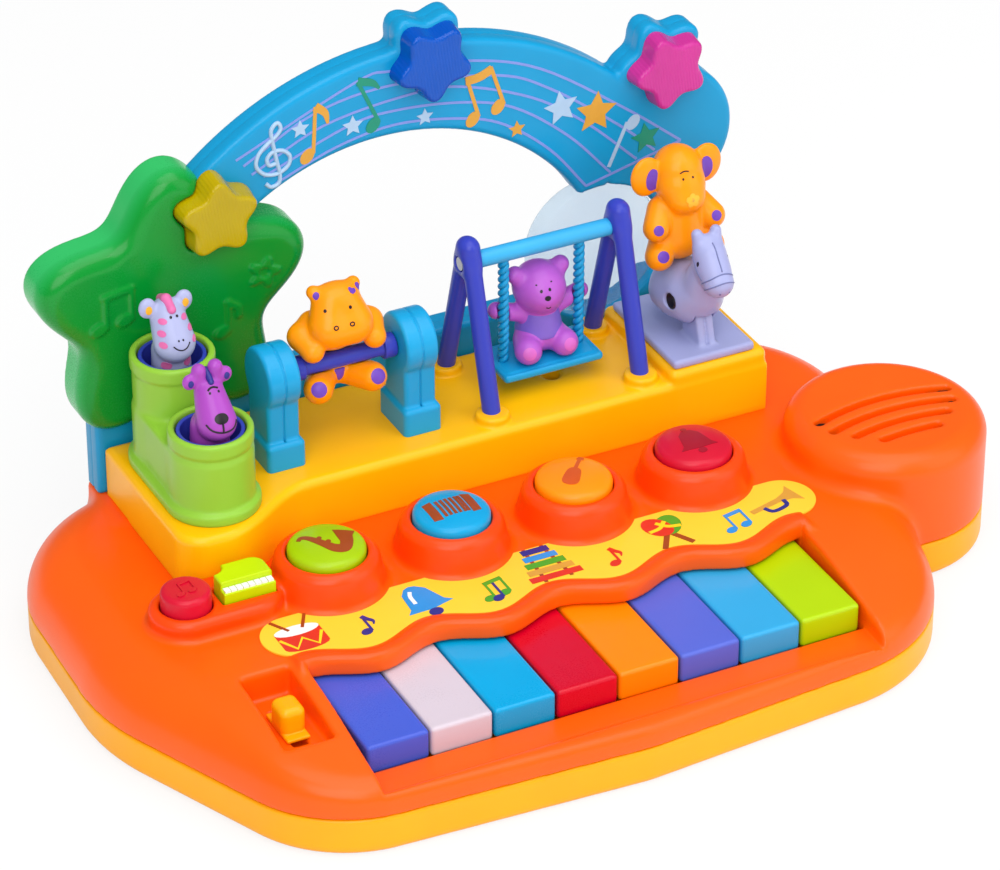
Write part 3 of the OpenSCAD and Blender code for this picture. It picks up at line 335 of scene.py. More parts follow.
def roundBox(x, y, z, low, high, radius):
    sides = [np.abs(v - (a + b) / 2) - ((b - a) / 2 - radius) for v, a, b in zip((x, y, z), low, high)]
    outside = np.sqrt(sum(np.maximum(s, 0) ** 2 for s in sides))
    inside = np.minimum(np.maximum(np.maximum(sides[0], sides[1]), sides[2]), 0)
    return outside + inside - radius


def limb(x, y, z, first, second):  # skin over two balls, each x, y, z, radius
    a, b = np.array(first[:3], float), np.array(second[:3], float)
    ra, rb = first[3], second[3]
    span = b - a
    long2 = float(span @ span)
    step = ra - rb
    if long2 <= step * step + 1e-9:
        big = first if ra >= rb else second
        return ball(x, y, z, big[:3], big[3])
    slope2 = long2 - step * step
    p = (x - a[0], y - a[1], z - a[2])
    run = p[0] * span[0] + p[1] * span[1] + p[2] * span[2]
    over = run - long2
    side2 = sum((v * long2 - s * run) ** 2 for v, s in zip(p, span))
    run2, over2 = run * run * long2, over * over * long2
    turn = np.sign(step) * step * step * side2
    atEnd = np.sqrt(side2 + over2) / long2 - rb
    atStart = np.sqrt(side2 + run2) / long2 - ra
    between = (np.sqrt(side2 * slope2 / long2) + run * step) / long2 - ra
    return np.where(np.sign(over) * slope2 * over2 > turn, atEnd,
                    np.where(np.sign(run) * slope2 * run2 < turn, atStart, between))


def lineFar(u, v, points):  # distance to a bent line
    best = None
    for (au, av), (bu, bv) in zip(points[:-1], points[1:]):
        eu, ev = bu - au, bv - av
        wu, wv = u - au, v - av
        t = np.clip((wu * eu + wv * ev) / (eu * eu + ev * ev + 1e-12), 0, 1)
        d2 = (wu - eu * t) ** 2 + (wv - ev * t) ** 2
        best = d2 if best is None else np.minimum(best, d2)
    return np.sqrt(best)


def strokePlan(u, v, points, half):  # band along a bent line
    return lineFar(u, v, points) - half


def polygonPlan(u, v, points):  # signed distance to a closed polygon
    points = np.asarray(points, float)
    inside = False
    for (au, av), (bu, bv) in zip(points, np.roll(points, -1, 0)):
        crossing = ((av <= v) & (bv > v)) | ((bv <= v) & (av > v))
        rise = bv - av if abs(bv - av) > 1e-12 else 1e-12
        inside = inside ^ (crossing & (u < au + (v - av) / rise * (bu - au)))
    return lineFar(u, v, np.concatenate([points, points[:1]])) * np.where(inside, -1, 1)


def starPlan(u, v, at, middle, swing):  # soft five-pointed star
    du, dv = u - at[0], v - at[1]
    ring = length2(du, dv)
    turn = 5 * (np.arctan2(dv, du) - math.radians(at[2]))
    slope = 5 * swing * np.sin(turn) / np.maximum(ring, middle * 0.5)
    return (ring - middle - swing * np.cos(turn)) / np.sqrt(1 + slope * slope)


# camera, light and floor
shot = {"place": (-655.2, -1296.8, 999.3), "look": (-2.49, 0.0, 83.39), "lens": 168.83}
cameraData = bpy.data.cameras.new("shotCamera")
cameraData.sensor_fit, cameraData.sensor_width = "HORIZONTAL", 36.0
cameraData.lens, cameraData.clip_end = shot["lens"], 50.0
camera = bpy.data.objects.new("shotCamera", cameraData)
scene.collection.objects.link(camera)
camera.location = Vector(shot["place"]) * mm
camera.rotation_euler = (Vector(shot["look"]) - Vector(shot["place"])).to_track_quat("-Z", "Y").to_euler()
scene.camera = camera

lights = {
    "key": {"place": (-0.75, -1.2, 1.15), "size": 1.2, "watts": 14.0},
    "fill": {"place": (0.95, -1.0, 0.7), "size": 1.2, "watts": 5.5},
    "top": {"place": (0.1, -0.35, 1.5), "size": 1.4, "watts": 13.5},
}
sky = {"light": 0.58, "shine": 0.1, "seen": 1.0}
lightAim = Vector((0, 0, 0.06))
for title, light in lights.items():
    data = bpy.data.lights.new(title + "Light", "AREA")
    data.size, data.energy = light["size"], light["watts"]
    lamp = bpy.data.objects.new(title + "Light", data)
    scene.collection.objects.link(lamp)
    lamp.location = light["place"]
    lamp.rotation_euler = (lightAim - lamp.location).to_track_quat("-Z", "Y").to_euler()

studio = Paint(bpy.data.worlds.new("studio"))
scene.world = studio.owner


def backdrop(strength):
    return studio.node("ShaderNodeBackground", {}, {"Color": (1, 1, 1, 1), "Strength": strength})


def byRay(ray, first, second):
    share = studio.node("ShaderNodeLightPath", output=ray)
    return studio.node("ShaderNodeMixShader", {}, {0: share, 1: first, 2: second})


air = byRay("Is Glossy Ray", backdrop(sky["light"]), backdrop(sky["shine"]))
for ray in ("Is Transmission Ray", "Is Camera Ray"):
    air = byRay(ray, air, backdrop(sky["seen"]))
studio.node("ShaderNodeOutputWorld", {}, {"Surface": air})

floorPaint = Paint(bpy.data.materials.new("paleFloor"))
floorRay = floorPaint.node("ShaderNodeLightPath", output="Is Camera Ray")
floorCloud = floorPaint.noise(floorPaint.place(), 3.0)
dim, pale = (
    floorPaint.node("ShaderNodeBsdfDiffuse", {}, {"Color": (grey, grey, grey, 1)}) for grey in (0.86, 0.88))
floorMatt = floorPaint.node("ShaderNodeMixShader", {}, {0: floorCloud, 1: dim, 2: pale})
floorGlow = floorPaint.node("ShaderNodeEmission", {}, {"Color": (1, 1, 1, 1), "Strength": 1.0})
floorPaint.node("ShaderNodeOutputMaterial", {}, {"Surface": floorPaint.node(
    "ShaderNodeMixShader", {}, {0: floorRay * 0.8, 1: floorMatt, 2: floorGlow})})
far = 6.0
floor = buildMesh("floor", [(-far, -far, 0), (far, -far, 0), (far, far, 0), (-far, far, 0)], [(0, 1, 2, 3)])
floor.data.materials.append(floorPaint.owner)
print("camera, light and floor set")


# case
body = {
    "corners": [
        (-94, -61, 49), (0, -55.2, 60), (87, -48.7, 60), (120, 52, 55), (-112, 52, 55), (-81, 5.3, 87.5)],
    "trayTop": 15.8, "trayRound": 4.0, "seam": 0.16, "top": 39.0, "shoulder": 22.0,
    "slopeFrom": -52.0, "slope": 12.0, "shelf": (-124.5, 123.0),
    "screws": [(-150, 20), (-113, -88), (112, -82), (140, 66), (-140, 72), (5, 20)], "screwHole": (2.8, 2.6),
}
pod = {"x": 158.1, "y": -7.7, "radius": 38.9, "top": 54.7, "round": 9.0}
door = {"half": 31.0, "front": 33.0, "rear": 79.0, "deep": 2.6}


def outlinePlan(x, y):  # skin around the corner circles
    corners = body["corners"]
    angles = [2 * math.pi * k / 180 for k in range(180)]
    for p, q in zip(corners, corners[1:] + corners[:1]):  # exact normals of the straight sides
        gap = math.hypot(q[0] - p[0], q[1] - p[1])
        angles.append(math.atan2(q[1] - p[1], q[0] - p[0]) - math.acos((p[2] - q[2]) / gap))

    def side(angle):
        nx, ny = math.cos(angle), math.sin(angle)
        return nx * x + ny * y - max(nx * cx + ny * cy + r for cx, cy, r in corners)
    return functools.reduce(np.maximum, map(side, angles))


def podPlan(x, y):
    return length2(x - pod["x"], y - pod["y"]) - pod["radius"]


def trayForm(x, y, z):
    plan = fuse(outlinePlan(x, y), podPlan(x, y), 4.0)
    form = prism(plan, z, 0, body["trayTop"] - body["seam"], 0.7, body["trayRound"])
    bore, deep = body["screwHole"]
    for sx, sy in body["screws"]:
        form = trim(form, 0, length2(x - sx, y - sy) - bore, z - deep)
    return trim(form, 0, np.abs(x) - door["half"], door["front"] - y, y - door["rear"], z - door["deep"])


keys = {
    "half": 100.8, "front": -90.8, "rear": -25.5, "lip": 22.0, "bead": 24.4, "beadFrom": -106.0,
    "under": 33.0, "deep": 16.0,
}
ridge = {
    "in": 3.6, "height": 36.6, "radius": 4.2, "half": 104.0, "middle": -48.4, "swing": 3.8, "pitch": 25,
}
switchWell = {
    "low": (-126, -79, 27), "high": (-107, -40, 70), "x": -116.5, "y": -60.0, "slot": (2.9, 11.4, 22.5),
}


def wave(x):  # where the keys go under the ridge
    return ridge["middle"] - ridge["swing"] * np.cos(np.pi * (x - ridge["pitch"]) / ridge["pitch"])


buttonSpots = [(-72.45, 1.4), (-21.75, 1.4), (28.95, 1.4), (79.65, 1.4)]
smallSpots = {"note": (-128.55, 1.0), "piano": (-105.75, 1.0)}
collars = {"foot": 22.0, "head": 19.0, "top": 53.0, "round": 3.4, "bore": 15.0, "floor": 36.5}
smallPod = {"radius": 14.0, "top": 46.7, "noteBore": 9.8, "pianoRoom": 0.5, "floor": 37.5}
slots = {
    "bend": 80.0, "first": -0.5, "pitch": 8.4, "half": [28.2, 26.1, 19.9, 11.8], "wide": 1.8, "deep": 4.5,
}
piano = {"long": 20.4, "deep": 12.0, "lid": 3.0, "top": 53.3, "bend": 5.0, "strip": 3.4, "stripFloor": 50.3}


def pianoLoop(grow):  # plan of a small grand piano, keyboard to the front
    cx, cy = smallSpots["piano"]
    left, right = cx - piano["long"] / 2 - grow, cx + piano["long"] / 2 + grow
    front, back = cy - piano["deep"] / 2 - grow, cy + piano["deep"] / 2 + piano["lid"] + grow
    r, turns = piano["bend"], np.linspace(0, math.pi / 2, 8)
    loop = [(left, front), (right, front)]
    loop += [(right - r + r * math.cos(t), back - r + r * math.sin(t)) for t in turns]
    return loop + [(left + r * math.cos(t), back - r * math.sin(t)) for t in turns]


def raisedForm(x, y, z, edge):  # flat top with what stands on it
    top, c = body["top"], collars
    form = roundEdge(outlinePlan(x, y), z - top, body["shoulder"])
    tilt = math.radians(body["slope"])
    flank = (z - top) * math.cos(tilt) - (y - body["slopeFrom"]) * math.sin(tilt)
    form = common(form, flank, 5.0)
    left, right = body["shelf"]
    form = fuse(form, roundBox(x, y, z, (left, 70, 0), (right, 106, top), 2.5), 5.0)
    form = fuse(form, roundEdge(podPlan(x, y), z - pod["top"], pod["round"]), 5.5)
    lean = (c["foot"] - c["head"]) / (c["top"] - top)
    for bx, by in buttonSpots:
        side = (length2(x - bx, y - by) - c["foot"] + (z - top) * lean) * 0.97
        form = fuse(form, roundEdge(side, z - c["top"], c["round"]), 3.0)
    nx, ny = smallSpots["note"]
    run = np.clip(x - nx, 0, smallSpots["piano"][0] - nx)
    low = length2(x - nx - run, y - ny) - smallPod["radius"]
    form = fuse(form, roundEdge(low, z - smallPod["top"], 3.0), 2.5)
    roll = length2(edge - ridge["in"], z - ridge["height"]) - ridge["radius"]
    return fuse(form, np.maximum(roll, np.abs(x) - ridge["half"]), 3.5)


def shellForm(x, y, z):
    edge = (y - wave(x)) * 0.9  # the rolled ridge over the keys follows it
    form = raisedForm(x, y, z, edge)
    wide = np.abs(x) - keys["half"]
    form = trim(form, 2.0, wide, edge, keys["bead"] - z)
    form = trim(form, 1.6, wide, edge, keys["beadFrom"] - y, keys["lip"] - z)
    form = trim(form, 0.8, wide, keys["front"] - y, y - keys["rear"], keys["deep"] - z, z - keys["under"])
    w = switchWell
    half, reach, floor = w["slot"]
    form = trim(form, 2.2, roundBox(x, y, z, w["low"], w["high"], 1.6))
    form = trim(form, 0, np.abs(x - w["x"]) - half, np.abs(y - w["y"]) - reach, floor - z)
    for bx, by in buttonSpots:
        form = trim(form, 1.0, length2(x - bx, y - by) - collars["bore"], collars["floor"] - z)
    nx, ny = smallSpots["note"]
    form = trim(form, 0.9, length2(x - nx, y - ny) - smallPod["noteBore"], smallPod["floor"] - z)
    form = trim(form, 0.8, polygonPlan(x, y, pianoLoop(smallPod["pianoRoom"])), smallPod["floor"] - z)
    for row, half in enumerate(slots["half"]):
        cy, reach = slots["first"] - row * slots["pitch"] - slots["bend"], math.asin(half / slots["bend"])
        arc = [(pod["x"] + slots["bend"] * math.sin(t), cy + slots["bend"] * math.cos(t))
               for t in np.linspace(-reach, reach, 13)]
        form = trim(form, 1.4, strokePlan(x, y, arc, slots["wide"]), pod["top"] - slots["deep"] - z)
    return np.maximum(form, body["trayTop"] + body["seam"] - z)


piece = skin("tray", trayForm, (-170, -117, 0), (199, 108, 16), 1.0)
settle(piece, "case", paints["tray"], "tray_yellow", "base_tray")
piece = skin("shell", shellForm, (-170, -117, 15), (199, 108, 56), 0.8)
settle(piece, "case", paints["shell"], "shell_orange", "top_shell")
print("tray and shell made")


# play deck
deck = {
    "top": 61.0, "low": 38.6, "round": 3.0, "left": -122.0, "right": 130.0, "front": 34.0, "rear": 91.5,
    "block": 66.0, "blockLeft": 88, "bossRadius": 6.6, "bossTop": 64.4,
    "legs": [(16.0, 43.0), (16.0, 83.6), (79.3, 43.0), (79.3, 83.6)],
    "hole": (50.6, 62.0), "holeRadius": 3.4, "holeFloor": 52.0,
    "corner": 11.0, "cornerFrom": 26.5, "bay": (-104, 15.5), "bayEdge": (40, 18.5),
}


def deckLoop():  # the left end bulges to the front, with a round corner and an S-shaped edge
    left, corner, start = deck["left"], deck["corner"], deck["cornerFrom"]
    (bayX, bayY), (long, deep) = deck["bay"], deck["bayEdge"]
    loop = [(left, deck["rear"]), (left, start)]
    turns = np.linspace(0.2, math.pi / 2, 8)
    loop += [(left + corner - corner * math.cos(t), start - corner * math.sin(t)) for t in turns]
    loop += [(bayX + long * t, bayY + t * t * (3 - 2 * t) * deep) for t in np.linspace(0, 1, 14)]
    return loop + [(deck["right"], deck["front"]), (deck["right"], deck["rear"])]


def deckForm(x, y, z):
    d = deck
    form = prism(polygonPlan(x, y, deckLoop()), z, d["low"], d["top"], d["round"], 0.4)
    low, high = (d["blockLeft"], d["front"], d["low"]), (d["right"], d["rear"], d["block"])
    form = fuse(form, roundBox(x, y, z, low, high, 3.0), 1.2)
    for fx, fy in d["legs"]:  # boss round each leg of the swing
        form = fuse(form, prism(length2(x - fx, y - fy) - d["bossRadius"], z, 58, d["bossTop"], 1.2), 1.0)
    hx, hy = d["hole"]
    return trim(form, 1.0, length2(x - hx, y - hy) - d["holeRadius"], d["holeFloor"] - z)


piece = skin("deck", deckForm, (-123, 14, 38), (131, 92, 67), 0.7)
settle(piece, "case", paints["deck"], "deck_amber", "play_deck")
print("deck made")


# backdrop
arch = {
    "inner": (-3.0, 66.8, 95.7), "outer": (7.8, 65.3, 131.9), "fan": (29.0, 152.0),
    "lobe": (115.4, 134.0, 29.0), "tip": [(80.7, 113.2), (98.0, 111.5), (115.4, 134.0), (112.4, 130.7)],
    "front": 92.0, "split": 98.5, "groove": 0.45, "rear": 105.0, "round": 2.4,
    "bossMiddle": 16.4, "bossSwing": 2.6, "low": 39, "rail": (-124.5, 122, 73.6), "column": (-122, -80, 136),
}
disc = {"x": 87.0, "z": 90.5, "radius": 28.0, "room": 0.3, "front": 94.0, "rear": 103.0}
lenses = {
    "yellow": (-75.5, 150.5, 90.0, 81.0), "blue": (13.8, 192.0, -92.0, 84.0),
    "pink": (113.8, 165.2, -104.0, 84.0),
}
lensShape = {"middle": 14.2, "swing": 2.1, "lean": 0.12, "deep": 9, "round": 1.5, "rear": 92.4}


def archPlan(x, z):
    ix, iz, inner = arch["inner"]
    ox, oz, outer = arch["outer"]
    band = np.maximum(length2(x - ox, z - oz) - outer, inner - length2(x - ix, z - iz))
    low, high = (math.radians(a) for a in arch["fan"])
    dx, dz = x - ix, z - iz
    ends = np.maximum(dx * math.sin(low) - dz * math.cos(low), -dx * math.sin(high) + dz * math.cos(high))
    plan = np.maximum(band, ends)
    lx, lz, lobe = arch["lobe"]
    plan = np.minimum(plan, np.minimum(length2(x - lx, z - lz) - lobe, polygonPlan(x, z, arch["tip"])))
    for key in ("blue", "pink"):
        plan = fuse(plan, starPlan(x, z, lenses[key], arch["bossMiddle"], arch["bossSwing"]), 3.0)
    for left, right, top in (arch["rail"], arch["column"]):
        plan = np.minimum(plan, within(left - x, x - right, arch["low"] - z, z - top))
    return plan


def discRing(x, z):
    return length2(x - disc["x"], z - disc["z"])


def archForm(x, y, z):
    plan = archPlan(x, z)
    form = prism(plan, y, arch["front"], arch["rear"], arch["round"])
    form = np.maximum(form, arch["groove"] - length2(plan, y - arch["split"]))
    return np.maximum(form, disc["radius"] + disc["room"] - discRing(x, z))


def discForm(x, y, z):
    return prism(discRing(x, z) - disc["radius"], y, disc["front"], disc["rear"], 2.0)


piece = skin("arch", archForm, (-126, 91, 38), (145, 106, 211), 0.8)
settle(piece, "case", paints["arch"], "arch_blue", "arch_front", "arch_back")
piece = skin("archDisc", discForm, (58, 93, 62), (116, 104, 119), 0.9)
settle(piece, "case", paints["disc"], "disc_pale", "arch_disc")

greenStar = {
    "at": (-91.5, 113.6, 88.5), "middle": 47.7, "swing": 8.3, "front": 88.0, "rear": 107.0, "round": 7.5,
    "pair": (-122.9, 113.3), "single": (-74.1, 99.3), "flower": (-56.3, 120.5), "raised": 0.7,
    "lensRoom": (14.6, 2.1), "lensFloor": 92.0, "tube": (-101.0, 72.0), "tubeRoom": 15.9, "tubeTop": 107.8,
}


def noteParts(u, v, at, size, twin):  # raised music note, single or joined pair
    heads = [(at[0], at[1])] + ([(at[0] + size * 0.95, at[1] + size * 0.15)] if twin else [])
    form = None
    for hu, hv in heads:
        du, dv = u - hu, v - hv
        head = length2((du + dv * 0.35) * 0.78, (dv - du * 0.35) * 1.1) - size * 0.27
        stem = strokePlan(u, v, [(hu + size * 0.26, hv), (hu + size * 0.26, hv + size * 1.2)], size * 0.085)
        part = np.minimum(head, stem)
        form = part if form is None else np.minimum(form, part)
    au, av = at[0] + size * 0.26, at[1] + size * 1.16
    flag = [(au + size * 0.38, av - size * 0.3), (au + size * 0.4, av - size * 0.6)]
    tip = [(au + size * 0.95, av + size * 0.15)] if twin else flag
    return np.minimum(form, strokePlan(u, v, [(au, av)] + tip, size * 0.13))


def starForm(x, y, z):
    s = greenStar
    form = prism(starPlan(x, z, s["at"], s["middle"], s["swing"]), y, s["front"], s["rear"], 2.0, s["round"])
    raised = np.minimum(noteParts(x, z, s["pair"], 11.0, True), noteParts(x, z, s["single"], 10.5, False))
    du, dz = x - s["flower"][0], z - s["flower"][1]
    petals = length2(du, dz) - 5.2 - 1.5 * np.cos(5 * np.arctan2(dz, du))
    raised = np.minimum(raised, np.maximum(petals, 2.2 - length2(du, dz)))
    form = fuse(form, within(raised, s["front"] - s["raised"] - y, y - s["front"] - 3), 0.8)
    form = trim(form, 0, starPlan(x, z, lenses["yellow"], *s["lensRoom"]), y - s["lensFloor"])
    tx, ty = s["tube"]
    return trim(form, 0, length2(x - tx, y - ty) - s["tubeRoom"], z - s["tubeTop"])


piece = skin("greenStar", starForm, (-150, 87, 57), (-34, 108, 171), 0.7)
settle(piece, "case", paints["star"], "star_green", "star_front", "star_rear")


def lensForm(at):  # flat-fronted star with slightly sloping sides
    front = at[3]

    def form(x, y, z):
        c = lensShape
        lean = np.clip(front + c["deep"] - y, 0, c["deep"]) * c["lean"]
        plan = starPlan(x, z, at, c["middle"], c["swing"]) + lean
        return np.maximum(roundEdge(plan, front - y, c["round"]), y - c["rear"])
    return form


for key in ("yellow", "blue", "pink"):
    lx, lz, turn, front = lenses[key]
    low, high = (lx - 18, front - 1, lz - 18), (lx + 18, 93, lz + 18)
    piece = skin("lens" + key.title(), lensForm(lenses[key]), low, high, 0.4)
    settle(piece, "case", paints["lens" + key.title()], "lens_" + key, "lens_" + key)
print("backdrop made")


# pop-up tubes
tubes = {
    "x": -101.0, "front": (38.2, 94.0), "rear": (72.0, 107.5), "outer": 15.2, "band": 15.9, "bandHigh": 6.0,
    "bore": 13.2, "deep": 29.0, "low": 60.5, "web": 86.0, "foot": 17.9, "footTop": 65.5,
}


def tubeForm(x, y, z):
    t, form = tubes, None
    for ty, rim in (t["front"], t["rear"]):
        ring = length2(x - t["x"], y - ty)
        band = prism(ring - t["band"], z, rim - t["bandHigh"], rim, 1.0)
        one = fuse(prism(ring - t["outer"], z, t["low"], rim, 0.9), band, 0.8)
        form = one if form is None else fuse(form, one, 3.0)
    plan = length2(x - t["x"], y - np.clip(y, t["front"][0], t["rear"][0]))
    form = fuse(form, prism(plan - t["outer"], z, t["low"], t["web"], 1.6), 2.5)
    form = fuse(form, prism(plan - t["foot"], z, t["low"], t["footTop"], 1.5), 1.5)
    for ty, rim in (t["front"], t["rear"]):
        form = trim(form, 1.2, length2(x - t["x"], y - ty) - t["bore"], rim - t["deep"] - z)
    return form


piece = skin("logTubes", tubeForm, (-120, 19, 60), (-82, 91, 108), 0.6)
settle(piece, "case", paints["tube"], "tube_lime", "log_tubes")


# turned pieces
def rounded(corners, radius, steps=5):  # profile with its inner corners rounded
    out = [corners[0]]
    for before, at, after in zip(corners, corners[1:], corners[2:]):
        a, b = Vector(before) - Vector(at), Vector(after) - Vector(at)
        size = min(radius, a.length * 0.49, b.length * 0.49)
        start, end = Vector(at) + a.normalized() * size, Vector(at) + b.normalized() * size
        for t in np.linspace(0, 1, steps + 1):
            point = start * (1 - t) ** 2 + Vector(at) * 2 * t * (1 - t) + end * t * t
            out.append((point.x, point.y))
    return out + [corners[-1]]


def turned(name, profile, centre, axis="z", sides=96):  # profile of radius and height, from axis to axis
    profile = np.array(profile, float)
    angles = np.linspace(0, 2 * math.pi, sides, endpoint=False)
    rows, inner = len(profile), len(profile) - 2
    ring = np.stack([
        np.outer(np.cos(angles), profile[:, 0]), np.outer(np.sin(angles), profile[:, 0]),
        np.broadcast_to(profile[:, 1], (sides, rows))], -1)
    points, quads, triangles = ring[:, 1:-1].reshape(-1, 3), [], []
    count = len(points)
    points = np.concatenate([points, [(0, 0, profile[0, 1]), (0, 0, profile[-1, 1])]])
    for i in range(sides):
        j = (i + 1) % sides
        for k in range(inner - 1):
            quads.append((i * inner + k, j * inner + k, j * inner + k + 1, i * inner + k + 1))
        triangles.append((count, j * inner, i * inner))
        triangles.append((count + 1, i * inner + inner - 1, j * inner + inner - 1))
    order = {"z": (0, 1, 2), "x": (2, 0, 1), "y": (1, 2, 0)}[axis]
    return buildMesh(name, (points[:, order] + np.array(centre)) * mm, quads, triangles)


cup = {"height": 20.0, "outer": 12.7, "wall": 1.6, "floor": 2.5, "sunk": 21.2}
cupInner = cup["outer"] - cup["wall"]
cupProfile = rounded([
    (0, 0), (cup["outer"], 0), (cup["outer"], cup["height"]), (cupInner, cup["height"]),
    (cupInner, cup["floor"]), (0, cup["floor"])], 0.6)
for animal, spot in (("zebra", "rear"), ("giraffe", "front")):
    ty, rim = tubes[spot]
    piece = turned(animal + "Cup", cupProfile, (tubes["x"], ty, rim - cup["sunk"]))
    settle(piece, animal + "_popup", paints["violet"], "violet", animal + "_cup")
print("tubes and cups made")


# figures: pairs of balls joined by a skin and ovals, all blended
def loopAt(spot, radius):  # small ring in the upright plane
    turns = np.linspace(0, 2 * math.pi, 9)
    return [(spot[0] + radius * math.cos(t), spot[1], spot[2] + radius * math.sin(t)) for t in turns]


def both(*balls):  # a limb on the left and its mirror image
    return [list(balls), [(-x, *rest) for x, *rest in balls]]


zebra = {
    "at": (-101.0, 72.0, 88.8), "blend": 1.6, "limbs": [
        [(0, 1, 7.8, 7.6), (0, 1.4, 18, 7.2)], [(0, -2.8, 24, 7.8), (-0.4, 2.4, 33, 6.6)]],
    "ovals": [((x, 2.5, 37.4), (3.4, 2.1, 4.1)) for x in (-8.0, 6.4)],
    "extras": {"pink": ([[(-0.4, -2.4, 37.4, 1.7), (-0.4, 2.8, 39.2, 2.0)],
                         [(-0.4, 2.8, 39.2, 2.0), (-0.4, 7.6, 37.0, 1.8)]], -99, 99)},
    "dabs": {
        "ink": [((-1.5, -3.9, 35.2), 0.5, 0.55), ((0.9, -3.9, 35.2), 0.5, 0.55),
                ((-1.0, -9.8, 28.2), 0.34, 0.42), ((0.8, -9.8, 28.2), 0.34, 0.42)],
        "pink": [((-4.3, -3.0, 33.7), 1.9, 1.2), ((3.7, -3.0, 33.7), 1.9, 1.2),
                 ((-5.4, -4.6, 29.7), 2.0, 1.25), ((5.0, -4.6, 29.7), 2.0, 1.25),
                 ((-6.2, -7.0, 26.2), 2.0, 1.25), ((6.0, -7.0, 26.2), 2.0, 1.25),
                 ((-5.5, -6, 15.6), 2.2, 1.6), ((5.0, -6, 15.6), 2.2, 1.6)],
        "honey": [((x, -1, 37.4), 1.3, 1.8) for x in (-8.2, 6.6)]},
    "strokes": {"ink": [
        [(-2.8, -8.8, 25.9), (-1.5, -9.8, 24.8), (0.1, -10.5, 24.4), (1.8, -10.0, 24.9), (3.2, -9.2, 26.4)]]},
}
giraffe = {
    "at": (-101.0, 38.2, 75.3), "blend": 1.5, "pen": 0.38, "limbs": [
        [(0, 1, 7.8, 7.6), (0, 1, 18, 7.0)], [(0.6, -4.6, 22.8, 7.4), (0.3, 0.6, 32.5, 5.6)],
        [(-2.4, 1.5, 35.5, 1.9), (-3.0, 2, 41.6, 2.7)], [(3.0, 1.5, 35.5, 1.9), (3.5, 2, 41.9, 2.7)]],
    "ovals": [((x, 1.6, 38.0), (2.8, 1.9, 3.1)) for x in (-6.8, 7.0)],
    "extras": {"navy": ([[(0.3, -1.6, 37.8, 1.1), (0.3, 3.0, 40.4, 1.5)]], -99, 99)},
    "dabs": {
        "ink": [((0.2, -11.0, 27.6), 2.8, 2.1), *[((x, -4.5, 35.2), 0.42, 0.5) for x in (-1.5, 2.1)]],
        "navy": [((x, -1.5, 38.0), 1.1, 1.5) for x in (-7.0, 7.2)]},
    "strokes": {"ink": [
        [(-5.0, -8.5, 25.0), (-3.4, -10.4, 23.2), (0.2, -11.6, 22.2), (4.2, -10.6, 22.4), (6.3, -8.8, 24.3)],
        [(0.2, -12.0, 26.0), (0.2, -12.0, 22.2)],
        [(-2.2, -4.0, 36.2), (-1.0, -3.8, 37.1), (0.4, -3.8, 37.3), (2.3, -4.0, 36.6)]]},
}
hippo = {
    "at": (-39.5, 57.0, 96.0), "blend": 2.0, "limbs": [
        [(-3.6, 1, 24.2, 7.2), (-6.4, -2.6, 16.4, 7.4)], [(0.6, 1, 24.2, 7.2), (3.4, -2.6, 16.4, 7.4)],
        [(-6, -3.6, 15.2, 7.2), (3, -3.6, 15.2, 7.2)], [(-9.6, 3.2, 28.6, 2.6), (-7, 1.6, 26.6, 3)],
        [(6.6, 3.2, 28.6, 2.6), (4, 1.6, 26.6, 3)], [(-1.5, 8, 10, 8.6), (-1.5, 8, -6, 8.4)],
        [(-9, 6, 13, 5.6), (-15, 2.5, 11.4, 5)], [(-15, 2.5, 11.4, 5), (-13.8, -4.6, 8.6, 4.4)],
        [(6, 6, 13, 5.6), (12.4, 2.5, 11.2, 5)], [(12.4, 2.5, 11.2, 5), (11.4, -4.6, 8.4, 4.4)],
        [(-6.5, 4, -8.5, 5.8), (-12, -5, -8, 5.6)], [(4.5, 4, -8.5, 5.8), (10, -5, -8.4, 5.6)]],
    "dabs": {
        "ink": [((-7.8, -4.2, 24.0), 0.6, 0.7), ((0.9, -5.8, 24.4), 0.6, 0.7)],
        "purple": [((-9.8, 0, 28.8), 1.3, 1.5), ((6.8, 0, 28.8), 1.3, 1.5),
                   ((-13.8, -9.8, -5.2), 3.4, 3.4), ((10.5, -10.0, -5.8), 3.4, 3.4),
                   ((3.4, -2.8, 28.8), 1.5, 1.0), ((2.6, -2.8, 29.0), 0.9, 1.5)]},
    "extras": {"purple": ([[(-1.5, 3.4, -5.2, 4.6), (-1.5, 3.4, -6.6, 4.6)]], -99, -4.2)},
    "strokes": {"ink": [loopAt((x, -9.8, 19.4), 0.8) for x in (-6.4, 0.2)]},
}
